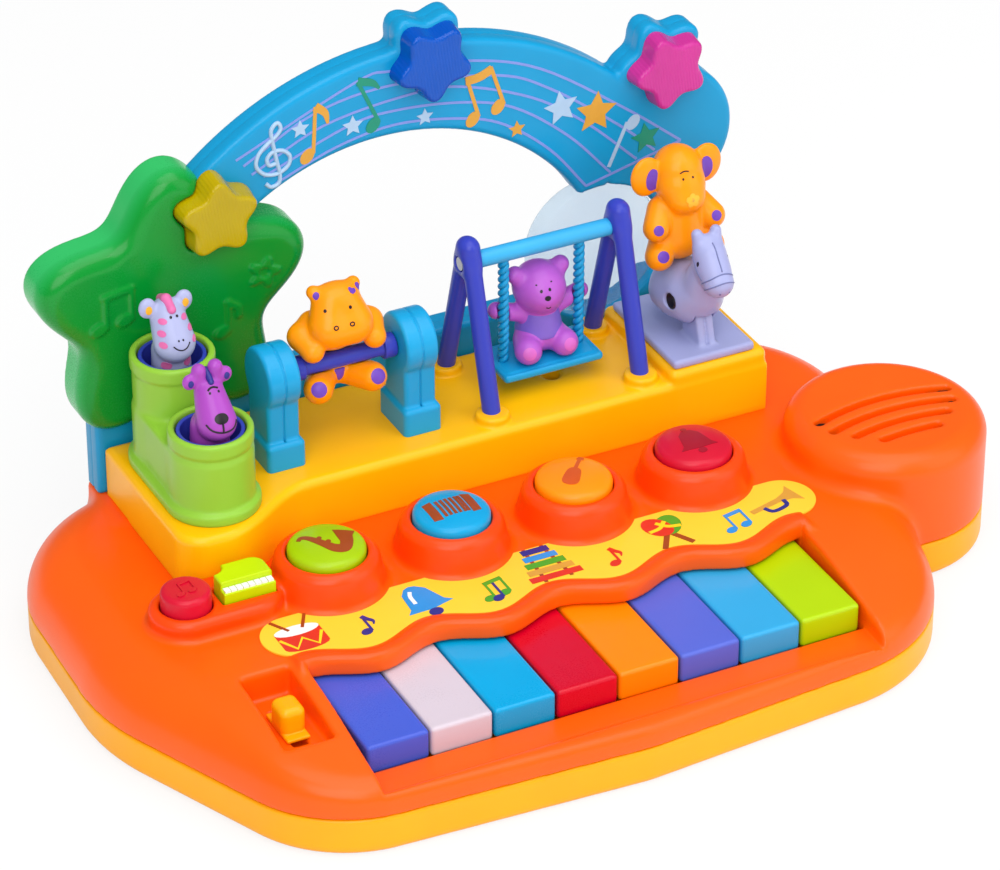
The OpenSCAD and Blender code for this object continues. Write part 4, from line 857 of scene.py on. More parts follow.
bear = {
    "at": (46.8, 63.3, 72.0), "blend": 1.8, "limbs": [
        [(0, 2.4, 27.6, 10.2), (0, 1.4, 27.0, 10.2)], [(-1.4, -5.4, 26.4, 4.6), (-1.0, -3.6, 26.6, 6.2)],
        *both((-9.6, 3, 34.2, 3.4), (-7.2, 3, 32, 4)), [(0, 2, 9, 8.9), (0, 2, 16.5, 7.4)],
        *both((-6.5, 2.4, 17, 3.6), (-17.8, 2.6, 21, 3.3)),
        [(-5.5, 1, 5.6, 5.4), (-8.6, -6.4, 5.4, 5.3)], [(5.5, 1, 5.6, 5.4), (6.8, -6.4, 5.4, 5.3)]],
    "extras": {"lilac": ([[(0, 2, 9, 9.2), (0, 2, 16.5, 7.7)]], 8.6, 18.8)},
    "dabs": {
        "ink": [((-4.0, -8.0, 31.2), 0.55, 0.65), ((-0.6, -8.4, 31.4), 0.55, 0.65),
                ((-2.2, -11, 29.0), 1.25, 1.0), ((-5.6, -6.4, 33.8), 0.38, 0.3),
                ((1.0, -7, 34.0), 0.38, 0.3)],
        "rose": [((-10.2, -11.0, 6.8), 2.9, 2.9), ((7.0, -11.4, 6.8), 2.9, 2.9)]},
    "strokes": {"ink": [[(-2.9, -10.4, 24.2), (-1.8, -10.8, 23.4), (-0.7, -10.4, 24.2)]]},
}
donkey = {
    "at": (107.5, 52.0, 86.5), "blend": 2.4, "limbs": [
        [(0, 2, 0, 12), (0, 12, -1, 11.5)], [(0, -4, 4, 8.5), (0, -9, 17, 6.4)],
        [(0, -10, 22.5, 6.6), (0, -13.5, 18.5, 6)], [(0, -13.5, 18, 5.8), (0, -17.2, 14.4, 6.0)],
        *both((-3.2, -8, 27, 2.8), (-4.0, -7, 31.0, 2.2)), [(0, -8.5, 28.6, 2.0), (0, -2, 17, 1.8)],
        [(0, 22, 2, 2.5), (0, 25, -4, 2.2)], *both((-5, 12, -3, 7.6), (-5, 7, -3, 7.6))],
    "dabs": {
        "ink": [((x, -12.5, 21.5), 0.6, 1.0) for x in (-6.4, 6.4)],
        "slate": [((x, -23, 12.0), 0.4, 0.5) for x in (-2.2, 2.2)]},
    "strokes": {"slate": [
        [(-5.6, -15, 14.2), (-4.6, -19, 17.4), (0, -20, 19.2), (4.6, -19, 17.4), (5.6, -15, 14.2)],
        *both((-5.6, -15.4, 16), (-6.4, -11.5, 19.5), (-5.6, -8, 23.5)),
        [(-5.8, -16, 11.6), (-4.6, -20, 14.6), (0, -21.6, 16.4), (4.6, -20, 14.6), (5.8, -16, 11.6)],
        [(0, -12, 29.0), (0, -16, 25.4), (0, -19.4, 20.0)]]},
}
elephant = {
    "at": (106.5, 55.0, 85.6), "blend": 1.8, "limbs": [
        [(0, 11, 22.2, 10.8), (0, 11, 33, 9.4)], [(0, 12, 49, 9.6), (0, 11, 45.5, 9.6)],
        *both((-1.6, 8, 43.5, 7.6), (-1.6, 5, 40.0, 6.2)), *both((-8, 10, 34, 5.2), (-12, 5.5, 29, 5.2)),
        *both((-7, 9, 20, 5.6), (-11, 4.5, 17, 5.6))],
    "ovals": [((x, 12.5, 48.2), (6.6, 2.6, 8.2)) for x in (-13.0, 12.6)],
    "dabs": {
        "purple": [*[((x, 8, 47.6), 2.9, 4.8) for x in (-12.0, 12.0)],
                   *[((x, -0.5, 19.4), 2.5, 2.5) for x in (-11.8, 11.8)],
                   ((-13.4, 0.8, 30.6), 2.1, 2.2), ((11.6, 0.7, 31.1), 2.1, 2.2)],
        "ink": [((x, 2.2, 49.6), 0.4, 0.5) for x in (-2.6, 1.4)],
        "honey": [((1.8 * math.sin(1.257 * k), -1.6, 41.6 + 1.8 * math.cos(1.257 * k)), 1.2, 1.2)
                  for k in range(5)],
        "ochre": [((0, -1.6, 41.6), 1.0, 1.0)]},
    "strokes": {"ink": [[(-3.6, 3, 51.8), (-1.8, 2.6, 52.6), (0, 2.6, 52.2)]]},
}


def figureForm(figure, cut):
    at = figure["at"]

    def form(x, y, z):
        u, v, w = x - at[0], y - at[1], z - at[2]
        parts = [limb(u, v, w, *pair) for pair in figure["limbs"]]
        parts += [egg(u, v, w, *oval) for oval in figure.get("ovals", [])]
        shape = parts[0]
        for part in parts[1:]:
            shape = fuse(shape, part, figure["blend"])
        return cut(shape, u, v, w) if cut else shape
    return form


def probe(form, points):  # distance to a form and its outward direction there
    x, y, z = np.asarray(points, float).T
    h = 0.05
    slope = np.stack([
        form(x + h, y, z) - form(x - h, y, z), form(x, y + h, z) - form(x, y - h, z),
        form(x, y, z + h) - form(x, y, z - h)], 1) / (2 * h)
    return form(x, y, z), slope / np.maximum(np.linalg.norm(slope, axis=1, keepdims=True), 1e-6)


def ground(form, points):  # nearest places on the form
    points = np.array(points, float)
    for step in range(10):
        far, out = probe(form, points)
        points = points - out * far[:, None]
    return points, probe(form, points)[1]


def hug(form, spot):  # carries a flat drawing onto a form, centred at the spot
    place, out = ground(form, [spot])
    out = Vector(out[0])
    up = (Vector((0, 0, 1)) - out * out.z).normalized()
    side = up.cross(out)
    return lambda flat: ground(form, place[0] + flat[:, :1] * np.array(side) + flat[:, 1:] * np.array(up))


def plates(name, jobs):  # thin plates: each job is an outline, a carrier onto the surface, and a lift
    points, triangles, walls = [], [], []
    for order, (loop, carry, lift) in enumerate(jobs):
        flat = np.asarray(loop, float)
        low, high = flat.min(0), flat.max(0)
        pitch = min(max(float((high - low).max()) / 7, 0.3), 2.0)
        flat = np.concatenate([np.linspace(a, b, 1 + math.ceil(math.dist(a, b) / pitch))[:-1]
                               for a, b in zip(flat, np.roll(flat, -1, 0))])
        u, v = np.meshgrid(np.arange(low[0], high[0], pitch), np.arange(low[1], high[1], pitch))
        inside = np.stack([u.ravel(), v.ravel()], 1)
        inside = inside[polygonPlan(inside[:, 0], inside[:, 1], flat) < -0.3 * pitch]
        corners = [Vector(p) for p in np.concatenate([flat, inside]).tolist()]
        made = delaunay_2d_cdt(corners, [], [list(range(len(flat)))], 1, 1e-6)
        place, out = carry(np.array([tuple(p) for p in made[0]]))
        count, size, rim = sum(len(p) for p in points), len(place), set()
        points += [place + out * (lift + order % 8 * 0.012), place - out * 0.25]
        for a, b, c in made[2]:
            under = count + size
            triangles += [(count + a, count + b, count + c), (under + c, under + b, under + a)]
            rim |= {(a, b), (b, c), (c, a)}
        border = [(a, b) for a, b in rim if (b, a) not in rim]
        walls += [(count + b, count + a, count + size + a, count + size + b) for a, b in border]
    piece = buildMesh(name, np.concatenate(points) * mm, walls, triangles)
    piece.data.set_sharp_from_angle(angle=math.radians(50))
    return piece


def strands(name, paths, radius, around=8):  # round threads along paths
    points, quads = [], []
    for path in paths:
        path = np.asarray(path, float)
        along = np.gradient(path, axis=0)
        along /= np.linalg.norm(along, axis=1, keepdims=True)
        guide = np.array([0, 0, 1.0]) if np.abs(along[:, 2]).max() < 0.9 else np.array([0, 1.0, 0])
        across = np.cross(along, guide)
        across /= np.linalg.norm(across, axis=1, keepdims=True)
        over = np.cross(along, across)
        turns = np.arange(around) * 2 * math.pi / around
        spokes = across[:, None] * np.cos(turns)[:, None] + over[:, None] * np.sin(turns)[:, None]
        rings = path[:, None] + radius * spokes
        start, rows = len(points), len(path)
        points += rings.reshape(-1, 3).tolist()
        for i in range(rows - 1):
            for k in range(around):
                a, b = start + i * around + k, start + i * around + (k + 1) % around
                quads.append((a, b, b + around, a + around))
        for row, flip in ((0, True), (rows - 1, False)):
            ring = [start + row * around + k for k in range(around)]
            for k in range(1, around // 2):
                face = (ring[k - 1], ring[k], ring[-k - 1], ring[-k])
                quads.append(face[::-1] if flip else face)
    return buildMesh(name, np.array(points) * mm, quads)


def smooth(points, steps=8):  # curve through the points
    p = np.asarray(points, float)
    p = np.concatenate([[2 * p[0] - p[1]], p, [2 * p[-1] - p[-2]]])
    out = []
    for a, b, c, d in zip(p, p[1:], p[2:], p[3:]):
        for t in np.arange(steps) / steps:
            square, cube = 2 * a - 5 * b + 4 * c - d, 3 * b - a - 3 * c + d
            out.append(0.5 * (2 * b + (c - a) * t + square * t * t + cube * t ** 3))
    return np.array(out + [p[-2]])


def oval(wide, high, turn=0.0, at=(0.0, 0.0), count=20):
    c, s = math.cos(turn), math.sin(turn)
    ring = [(wide * math.cos(t), high * math.sin(t)) for t in np.arange(count) * 2 * math.pi / count]
    return [(at[0] + c * u - s * v, at[1] + s * u + c * v) for u, v in ring]


figureSlots = {
    "ink": "rubber_black", "pink": "pink_white", "lilac": "lavender", "purple": "violet",
    "rose": "bear_magenta", "slate": "lavender", "ochre": "amber", "honey": "amber", "navy": "violet",
}


def figurePieces(name, figure, body, paint, slot, cut=None):
    title = name.title()
    extent = np.array([(*b[:3], b[3]) for pair in figure["limbs"] for b in pair] +
                      [(*c, max(r)) for c, r in figure.get("ovals", [])], float)
    low = (extent[:, :3] - extent[:, 3:]).min(0) + np.array(figure["at"]) - 1
    high = (extent[:, :3] + extent[:, 3:]).max(0) + np.array(figure["at"]) + 1
    form = figureForm(figure, cut)
    settle(skin(name, form, low, high, 0.45), body, paint, slot, name)
    at = np.array(figure["at"])
    for key, spots in figure["dabs"].items():
        jobs = [(oval(wide, tall), hug(form, at + np.array(spot)), 0.14) for spot, wide, tall in spots]
        settle(plates(key + title, jobs), body, coats[key], figureSlots[key])
    for key, lines in figure["strokes"].items():
        paths = [ground(form, smooth(np.array(line) + at))[0] for line in lines]
        piece = strands(key + title + "Lines", paths, figure.get("pen", 0.27))
        settle(piece, body, coats[key], figureSlots[key])
    for key, (pairs, bottom, top) in figure.get("extras", {}).items():  # crest or vest of another colour
        def level(shape, u, v, w):
            return common(shape, np.maximum(bottom - w, w - top), 0.6)
        worn = figureForm({"at": at, "blend": 0.6, "limbs": pairs}, level)
        settle(skin(key + title + "Part", worn, low, high, 0.35), body, coats[key], figureSlots[key])


room = {  # what the figures leave free for the pieces that carry them
    "bar": 3.7, "ropeOut": 16.0, "rope": 2.5, "rod": 3.2, "rodFrom": 7.2,
    "stand": [(-16.5, -24), (7.5, -24), (6.4, 0), (-6.4, 0)], "standEye": 6.4, "standHalf": 4.4,
}


def barCut(shape, u, v, w):
    return trim(shape, 0.4, length2(v, w) - room["bar"])


def ropeCut(shape, u, v, w):
    return trim(shape, 0.5, length2(np.abs(u) - room["ropeOut"], v) - room["rope"])


def standCut(shape, u, v, w):
    side = np.minimum(polygonPlan(v, w, room["stand"]), length2(v, w) - room["standEye"])
    shape = trim(shape, 0, side, np.abs(u) - room["standHalf"])
    return trim(shape, 0.6, length2(v, w) - room["rod"], room["rodFrom"] - np.abs(u))


figurePieces("zebra", zebra, "zebra_popup", paints["white"], "zebra_white")
figurePieces("giraffe", giraffe, "giraffe_popup", paints["plum"], "giraffe_magenta")
figurePieces("hippo", hippo, "spinner", paints["animal"], "animal_orange", barCut)
figurePieces("bear", bear, "swing", paints["magenta"], "bear_magenta", ropeCut)
figurePieces("donkey", donkey, "rocker", paints["lavender"], "lavender", standCut)
figurePieces("elephant", elephant, "rocker", paints["animal"], "animal_orange")
# painted shade: dark cups in the holes in the donkey's sides, where there is only shade
holeShade = [(0, 0), (3.1, 0), (3.1, 3.9), (2.9, 3.9), (2.9, 0.3), (0, 0.3)]
leftHoleShade = [(r, -h) for r, h in reversed(holeShade)]
for title, spot, profile in (("Left", 100.35, leftHoleShade), ("Right", 114.65, holeShade)):
    piece = turned("donkeyHole" + title, profile, (spot, *donkey["at"][1:]), "x", 32)
    settle(piece, "rocker", coats["ink"], "rubber_black")
print("figures made")


# spinner
spinner = {
    "x": -39.5, "y": 57.0, "z": 96.0, "half": 21.5, "head": 12.2, "leg": 9.0, "legLong": 40, "thick": 13.0,
    "foot": (7.75, 11.5, 72), "low": 60.6, "bore": 2.6, "boreReach": 30,
}


def postForm(px):
    def form(x, y, z):
        v, w = y - spinner["y"], z - spinner["z"]
        leg = within(np.abs(v) - spinner["leg"], w, -spinner["legLong"] - w)
        side = fuse(length2(v, w) - spinner["head"], leg, 0.8)
        half = spinner["thick"] / 2
        shape = prism(side, x, px - half, px + half, 1.6)
        wide, deep, top = spinner["foot"]
        low, high = (px - wide, spinner["y"] - deep, 55), (px + wide, spinner["y"] + deep, top)
        shape = fuse(shape, roundBox(x, y, z, low, high, 2.0), 1.2)
        shape = np.maximum(shape, spinner["low"] - z)
        shape = trim(shape, 0, np.abs(x - px) - 0.4, np.abs(side) - 0.6)  # moulding seam
        reach = np.abs(x - spinner["x"]) - spinner["boreReach"]
        return trim(shape, 0, length2(v, w) - spinner["bore"], reach)
    return form


for name, side in (("Left", -1), ("Right", 1)):
    px = spinner["x"] + side * (spinner["half"] + spinner["thick"] / 2)
    piece = skin("post" + name, postForm(px), (px - 9, 44, 60), (px + 9, 70, 109), 0.45)
    settle(piece, "case", paints["teal"], "post_teal", "post_" + name.lower())

barEnds = [(0, -29.5), (2.2, -29.5), (2.2, -21.1), (4.8, -21.1), (4.8, -16.1), (3.4, -16.1)]
barProfile = rounded(barEnds + [(r, -z) for r, z in reversed(barEnds)], 0.8)
bar = turned("spinnerBar", barProfile, (spinner["x"], spinner["y"], spinner["z"]), "x", 64)
settle(bar, "spinner", paints["violet"], "violet", "spinner_bar")


# swing
swing = {
    "y": 63.3, "z": 119.0, "spread": 39.5, "foot": 62.6, "apex": 125.0, "leg": 3.5, "hang": 46.8, "hub": 5.6,
    "hubHalf": 3.3, "pinRoom": 3.0, "pinDeep": 2.0, "barX": 47.65, "barHalf": 27.85, "barRadius": 3.4,
    "ropeOut": 16, "ropeFrom": 71.8, "ropeTo": 117.0, "twist": 1.05, "strand": 1.2, "halfTurns": 15,
}


def frameForm(fx, side):
    def form(x, y, z):
        half, leg = swing["spread"] / 2, swing["leg"]
        legs = [limb(x, y, z, (fx, swing["y"] + s * half * 1.03, swing["foot"] - 2, leg),
                     (fx, swing["y"] + s * 1.6, swing["apex"], leg)) for s in (-1, 1)]
        ring = length2(y - swing["y"], z - swing["z"])
        hub = prism(ring - swing["hub"], x, fx - swing["hubHalf"], fx + swing["hubHalf"], 1.4)
        shape = fuse(fuse(legs[0], legs[1], 5.0), hub, 2.0)
        shape = np.maximum(shape, swing["foot"] - z)
        return trim(shape, 0.5, ring - swing["pinRoom"], swing["pinDeep"] - side * (x - fx))
    return form


for name, fx, side in (("Left", 16.0, -1), ("Right", 79.3, 1)):
    piece = skin("swingFrame" + name, frameForm(fx, side), (fx - 8, 38, 62), (fx + 8, 90, 130), 0.5)
    settle(piece, "case", paints["violet"], "violet", "swing_frame_" + name.lower())

half, radius = swing["barHalf"], swing["barRadius"]
rod = rounded([(0, -half), (radius, -half), (radius, half), (0, half)], 0.5)
piece = turned("swingBar", rod, (swing["barX"], swing["y"], swing["z"]), "x", 64)
settle(piece, "swing", paints["sky"], "swing_cyan", "swing_bar")

ropePaths = []
climb = np.linspace(swing["ropeFrom"], swing["ropeTo"], 150)
for x0 in (swing["hang"] - swing["ropeOut"], swing["hang"] + swing["ropeOut"]):
    for start in (0, math.pi):  # two strands twisted round each other
        turn = start + np.linspace(0, swing["halfTurns"] * math.pi, 150)
        ropePaths.append(np.stack([
            x0 + swing["twist"] * np.cos(turn), swing["y"] + swing["twist"] * np.sin(turn), climb], 1))
piece = strands("swingRopes", ropePaths, swing["strand"], 14)
settle(piece, "swing", paints["swing"], "swing_cyan", "swing_ropes")
seat = {
    "low": (25.8, 51.3, 68.5), "high": (67.8, 75.3, 72.0), "round": 1.5,
    "grooveLow": (27.4, 52.9, 66), "grooveHigh": (66.2, 73.7, 76), "grooveFloor": 71.6,
}


def seatForm(x, y, z):
    plate = roundBox(x, y, z, seat["low"], seat["high"], seat["round"])
    rim = np.abs(roundBox(x, y, z, seat["grooveLow"], seat["grooveHigh"], seat["round"])) - 0.5
    return trim(plate, 0.4, rim, seat["grooveFloor"] - z)


piece = skin("swingSeat", seatForm, (25, 50, 67), (69, 76, 73), 0.5)
settle(piece, "swing", paints["swing"], "swing_cyan", "swing_seat")


# rocker stand
rocker = {
    "x": 107.5, "y": 52, "z": 86.5, "eye": 5.5, "rod": 2.1,
    "plateLow": (90, 35.5, 65.8), "plateHigh": (125, 87, 69.5),
    "upright": [(40, 66), (55, 66), (57.5, 86.5), (46.5, 86.5)], "left": 103.9, "right": 111.1,
    "slitFrom": 70,
}


def standForm(x, y, z):
    r = rocker
    plate = roundBox(x, y, z, r["plateLow"], r["plateHigh"], 1.4)
    ring = length2(y - r["y"], z - r["z"])
    side = fuse(polygonPlan(y, z, r["upright"]), ring - r["eye"], 1.0)
    shape = fuse(plate, prism(side, x, r["left"], r["right"], 1.0), 2.0)
    slit = within(np.abs(x - r["x"]) - 0.5, np.abs(side) - 0.8, r["slitFrom"] - z)  # between the legs
    shape = trim(shape, 0.3, slit)
    return np.maximum(shape, r["rod"] - ring)


piece = skin("rockerStand", standForm, (89, 34, 65), (126, 88, 93), 0.5)
settle(piece, "case", paints["lavender"], "lavender", "rocker_stand")
print("spinner, swing and rocker made")


# keys
keySet = [
    ("#455bc9", "violet"), ("#cdbfca", "pink_white"), ("#009fd5", "cyan"), ("#cb0024", "red"),
    ("#ff8300", "amber"), ("#5364ca", "violet"), ("#31a2d8", "cyan"), ("#add000", "lime"),
]
keySize = {
    "pitch": 25, "half": 12.1, "front": -90, "rear": -34, "low": 20, "top": 32, "round": 1.3,
    "tail": (-40, -27), "tailHalf": 4, "axle": (-31, 25), "bore": 1.6,
}


def keyForm(x0):
    k = keySize
    (tailFront, tailRear), (axleY, axleZ) = k["tail"], k["axle"]

    def form(x, y, z):
        low, high = (x0 - k["half"], k["front"], k["low"]), (x0 + k["half"], k["rear"], k["top"])
        flank = np.abs(x - x0) - k["half"]
        tail = within(flank, np.abs(z - axleZ) - k["tailHalf"], tailFront - y, y - tailRear)
        shape = fuse(roundBox(x, y, z, low, high, k["round"]), tail, 2.0)
        return within(shape, flank, k["bore"] - length2(y - axleY, z - axleZ))
    return form


for i, (code, slotName) in enumerate(keySet):
    x0, title = (i - 3.5) * keySize["pitch"], str(i + 1)
    piece = skin("key" + title, keyForm(x0), (x0 - 13, -91, 19), (x0 + 13, -26, 33), 0.6)
    paint = plastic("keyPlastic" + title, tint(code), rough=0.28, coat=0.15, drift=0.05)
    settle(piece, "key_body_" + title, paint, slotName, "key_" + title)


# buttons
domes = {"radius": 14.6, "edge": 55.4, "top": 57.5, "foot": 43.4, "round": 2.2}
crown = domes["top"] - domes["edge"]
domeBall = (domes["radius"] ** 2 + crown ** 2) / (2 * crown)


def domeHeight(ring):
    return domes["top"] - domeBall + np.sqrt(domeBall ** 2 - ring * ring)


domeArc = [(r, float(domeHeight(r))) for r in np.linspace(domes["radius"] - 4.5, 0, 16)]
domeSide = [(domes["radius"], domes[level]) for level in ("foot", "edge")]
domeProfile = rounded([(0, domes["foot"]), *domeSide, domeArc[0]], domes["round"], 6) + domeArc[1:]


def onDome(spot):
    def carry(flat):
        ring = length2(flat[:, 0], flat[:, 1])
        out = np.stack([flat[:, 0], flat[:, 1], np.sqrt(domeBall ** 2 - ring * ring)], 1) / domeBall
        return np.stack([flat[:, 0] + spot[0], flat[:, 1] + spot[1], domeHeight(ring)], 1), out
    return carry


def onTop(height, at=(0.0, 0.0)):
    def carry(flat):
        place = np.stack([flat[:, 0] + at[0], flat[:, 1] + at[1], np.full(len(flat), height)], 1)
        return place, np.tile([0.0, 0.0, 1.0], (len(flat), 1))
    return carry


def ribbon(points, half, steps=6):  # outline of a curved band; half may change along it
    line = smooth(points, steps) if len(points) > 2 else np.asarray(points, float)
    half = np.interp(np.linspace(0, 1, len(line)), np.linspace(0, 1, np.size(half)), np.atleast_1d(half))
    along = np.gradient(line, axis=0)
    along /= np.linalg.norm(along, axis=1, keepdims=True)
    side = np.stack([-along[:, 1], along[:, 0]], 1) * half[:, None]
    return np.concatenate([line - side, (line + side)[::-1]]).tolist()


def spun(loop, turn, at=(0.0, 0.0), size=1.0):
    c, s = math.cos(turn) * size, math.sin(turn) * size
    return [(at[0] + c * u - s * v, at[1] + s * u + c * v) for u, v in loop]


def starLoop(at, size, turn=90.0):
    loop = []
    for k in range(10):
        t, reach = math.radians(turn + 36 * k), size * (1 - 0.52 * (k % 2))
        loop.append((at[0] + reach * math.cos(t), at[1] + reach * math.sin(t)))
    return loop


def noteLoops(at, size, kind="flag"):  # head, stem, and flag or beam
    def spot(u, v):
        return at[0] + size * u, at[1] + size * v

    def headStem(u, v):
        return [oval(size * 0.3, size * 0.22, 0.35, spot(u, v)),
                ribbon([spot(u + 0.26, v), spot(u + 0.26, v + 1.2)], size * 0.06)]

    loops = headStem(0, 0)
    if kind == "flag":
        flag = [spot(0.24, 1.2), spot(0.42, 0.9), spot(0.6, 0.66), spot(0.52, 0.42)]
        loops.append(ribbon(flag, [size * 0.12, size * 0.1, size * 0.03]))
    if kind == "pair":
        loops += headStem(0.85, 0.16) + [ribbon([spot(0.2, 1.14), spot(1.17, 1.32)], size * 0.12)]
    return loops


guitarBody = [
    (2.6 * math.cos(t) * (1.25 - 0.25 * math.cos(2 * t) - 0.2 * math.sin(t)), 4.6 * math.sin(t) - 2.0)
    for t in np.linspace(0, 2 * math.pi, 36, endpoint=False)]
bellLoop = [
    (-6.4, -4.2), (-4.8, -2.6), (-4.1, 0.6), (-3.4, 3.6), (-1.6, 5.6), (0, 6.1),
    (1.6, 5.6), (3.4, 3.6), (4.1, 0.6), (4.8, -2.6), (6.4, -4.2), (0, -5.0)]
saxLine = [
    (-7.6, 4.0), (-6.2, 5.0), (-4.4, 3.4), (-1.8, -1.2), (0.6, -4.8), (3.4, -5.6), (5.4, -3.0), (6.2, 0.6),
    (7.2, 3.4)]
bellows = [
    [(u, -4.4), (u + 1.0, -4.4), (u + 1.0, 4.4), (u, 4.4)] for u in (-4.1, -2.5, -0.9, 0.7, 2.3, 3.5)]
pictureSize = 1.2
pictures = {
    "sax": ("lime", "brown", [
        ribbon(saxLine, [0.7, 0.8, 1.0, 1.4, 1.8, 1.9, 2.0, 2.6, 3.4]),
        oval(0.8, 0.8, 0, (-1.6, 1.8)), oval(0.8, 0.8, 0, (0.2, -1.0))]),
    "accordion": ("cyan", "brown", [
        [(-8, -4.6), (-5, -5.2), (-5, 5.2), (-8, 4.6)], [(5, -5.2), (8, -4.6), (8, 4.6), (5, 5.2)],
        *bellows]),
    "guitar": ("amber", "rust", [
        spun(guitarBody, -0.7), spun([(-0.6, 2.0), (0.6, 2.0), (0.6, 8.6), (-0.6, 8.6)], -0.7),
        spun([(-1.2, 8.4), (1.2, 8.4), (0.9, 10.4), (-0.9, 10.4)], -0.7)]),
    "drum": ("red", "darkRed", [  # the photograph shows a bell on this button
        bellLoop, oval(1.5, 1.2, 0, (0, -6.2)), oval(1.0, 1.0, 0, (0, 6.8))]),
}
for title, spot in zip(pictures, buttonSpots):
    hue, ink, loops = pictures[title]
    piece = turned(title + "Button", domeProfile, (spot[0], spot[1], 0))
    settle(piece, title + "_push", paints[hue], hue, title + "_button")
    jobs = [(spun(loop, 0.0, size=pictureSize), onDome(spot), 0.16) for loop in loops]
    settle(plates(title + "Picture", jobs), title + "_push", coats[ink], hue)

noteCap = {"radius": 9.4, "top": 53.3, "round": 2.4, "sign": (-3.0, -3.2), "signSize": 5.6}
radius, low, top = noteCap["radius"], domes["foot"], noteCap["top"]
noteProfile = rounded([(0, low), (radius, low), (radius, top), (0, top)], noteCap["round"], 6)
piece = turned("noteButton", noteProfile, (*smallSpots["note"], 0))
settle(piece, "note_push", paints["red"], "red", "note_button")
carry = onTop(noteCap["top"], smallSpots["note"])
sign = noteLoops(noteCap["sign"], noteCap["signSize"], "pair")
piece = plates("noteEmboss", [(loop, carry, 0.5) for loop in sign])
settle(piece, "note_push", paints["red"], "red")


def pianoForm(x, y, z):
    form = prism(polygonPlan(x, y, pianoLoop(0)), z, domes["foot"], piano["top"], 1.0)
    cx, front = smallSpots["piano"][0], smallSpots["piano"][1] - piano["deep"] / 2
    low, high = (cx - 13, front - 2, piano["stripFloor"]), (cx + 13, front + piano["strip"], 60)
    return trim(form, 0.4, roundBox(x, y, z, low, high, 0.4))


cx, cy = smallSpots["piano"]
piece = skin("pianoButton", pianoForm, (cx - 11, cy - 8, 43), (cx + 11, cy + 11, 54), 0.35)
settle(piece, "piano_push", paints["brightLime"], "lime", "piano_button")
tinyKeys = {"count": 8, "first": -9.5, "pitch": 2.42, "wide": 2.1, "long": 2.7, "in": 0.5, "high": 0.7}
front = tinyKeys["in"] - piano["deep"] / 2
rear, wide = front + tinyKeys["long"], tinyKeys["wide"]
strip = [[(u, front), (u + wide, front), (u + wide, rear), (u, rear)]
         for u in np.arange(tinyKeys["count"]) * tinyKeys["pitch"] + tinyKeys["first"]]
carry = onTop(piano["stripFloor"], (cx, cy))
piece = plates("pianoKeys", [(loop, carry, tinyKeys["high"]) for loop in strip])
settle(piece, "piano_push", coats["chalk"], "pink_white")


knob = {
    "gripLow": (-121.3, -66, 27.4), "gripHigh": (-111.7, -54.5, 38.4), "round": 2.8,
    "plateLow": (-121.0, -69.5, 27.2), "plateHigh": (-112.0, -50.5, 28.6),
    "stem": (2.5, 3), "stemFrom": 23, "stemTo": 30,
}


def knobForm(x, y, z):
    grip = roundBox(x, y, z, knob["gripLow"], knob["gripHigh"], knob["round"])
    plate = roundBox(x, y, z, knob["plateLow"], knob["plateHigh"], 0.4)
    half, reach = knob["stem"]
    stem = within(
        np.abs(x - switchWell["x"]) - half, np.abs(y - switchWell["y"]) - reach,
        knob["stemFrom"] - z, z - knob["stemTo"])
    return np.minimum(fuse(grip, plate, 0.8), stem)


# painted shade: a dark disc on the floor of the deck's hole, where there is only shade
hole = plates("deckHoleShade", [(oval(3.2, 3.2), onTop(deck["holeFloor"], deck["hole"]), 0.1)])
settle(hole, "case", coats["ink"], "rubber_black")
piece = skin("switchKnob", knobForm, (-123, -71, 22), (-110, -49, 39), 0.4)
settle(piece, "switch_slider", paints["yellow"], "amber", "switch_knob")
print("keys and buttons made")


# music staff on the arch
staff = {
    "lines": [
        [(-64.5, 167.9), (-15.9, 188.6), (-0.2, 189.8), (31.7, 186.5), (61, 176.1), (95.9, 151.6),
         (121.7, 130.8)],
        [(-61.6, 164.8), (-33, 179.6), (-0.7, 184), (42.1, 177.9), (64.9, 166.8), (94.4, 144.2),
         (110.3, 129.3)],
        [(-58.4, 160.5), (-29.1, 173.8), (6.5, 178.4), (27.9, 176.5), (57.3, 164.8), (80.4, 148.4),
         (102.5, 127.3)],
        [(-53.7, 158.5), (-19.6, 171.1), (0.9, 173.1), (27.8, 169.9), (49.7, 162.4), (72.7, 144.8),
         (91.2, 124.2)],
        [(-48.8, 154.5), (-23.8, 163.7), (0.8, 167.2), (27.8, 163.1), (45.9, 156), (65.1, 140.5),
         (80.7, 120.9)],
        [(80.7, 120.9), (101.2, 125.8), (121.7, 130.8)]],
    "clef": (-49.5, 164.1), "clefPath": [
        (1.0, -1.2), (-1.8, -1.4), (-2.6, 1.4), (-0.2, 3.8), (3.8, 3.4), (6.6, 0.4), (5.6, -3.4), (1.4, -5.6),
        (-3.6, -4.8), (-6.9, -1.0), (-6.2, 3.6), (-2.6, 7.4), (1.4, 10.2), (3.2, 13.0), (1.8, 15.4),
        (-0.6, 13.0), (-0.2, 8.0), (1.2, 0.0), (2.4, -6.2), (1.8, -9.6), (-1.2, -10.6), (-3.4, -8.8)],
}


def onArch(flat):
    place = np.stack([flat[:, 0], np.full(len(flat), arch["front"]), flat[:, 1]], 1)
    return place, np.tile([0.0, -1.0, 0.0], (len(flat), 1))


def bigNote(head, top, curl=None):  # leaning note with its own stem and flag
    lean = 2.5 if top[1] > head[1] else -2.5
    loops = [oval(3.5, 2.5, 0.9, head), ribbon([(head[0] + lean, head[1] + 0.6), top], 0.75)]
    if curl:
        middle = ((top[0] + curl[0]) / 2 + 1.4, (top[1] + curl[1]) / 2 + 0.6)
        loops.append(ribbon([top, middle, curl], [1.8, 1.4, 0.5]))
    return loops


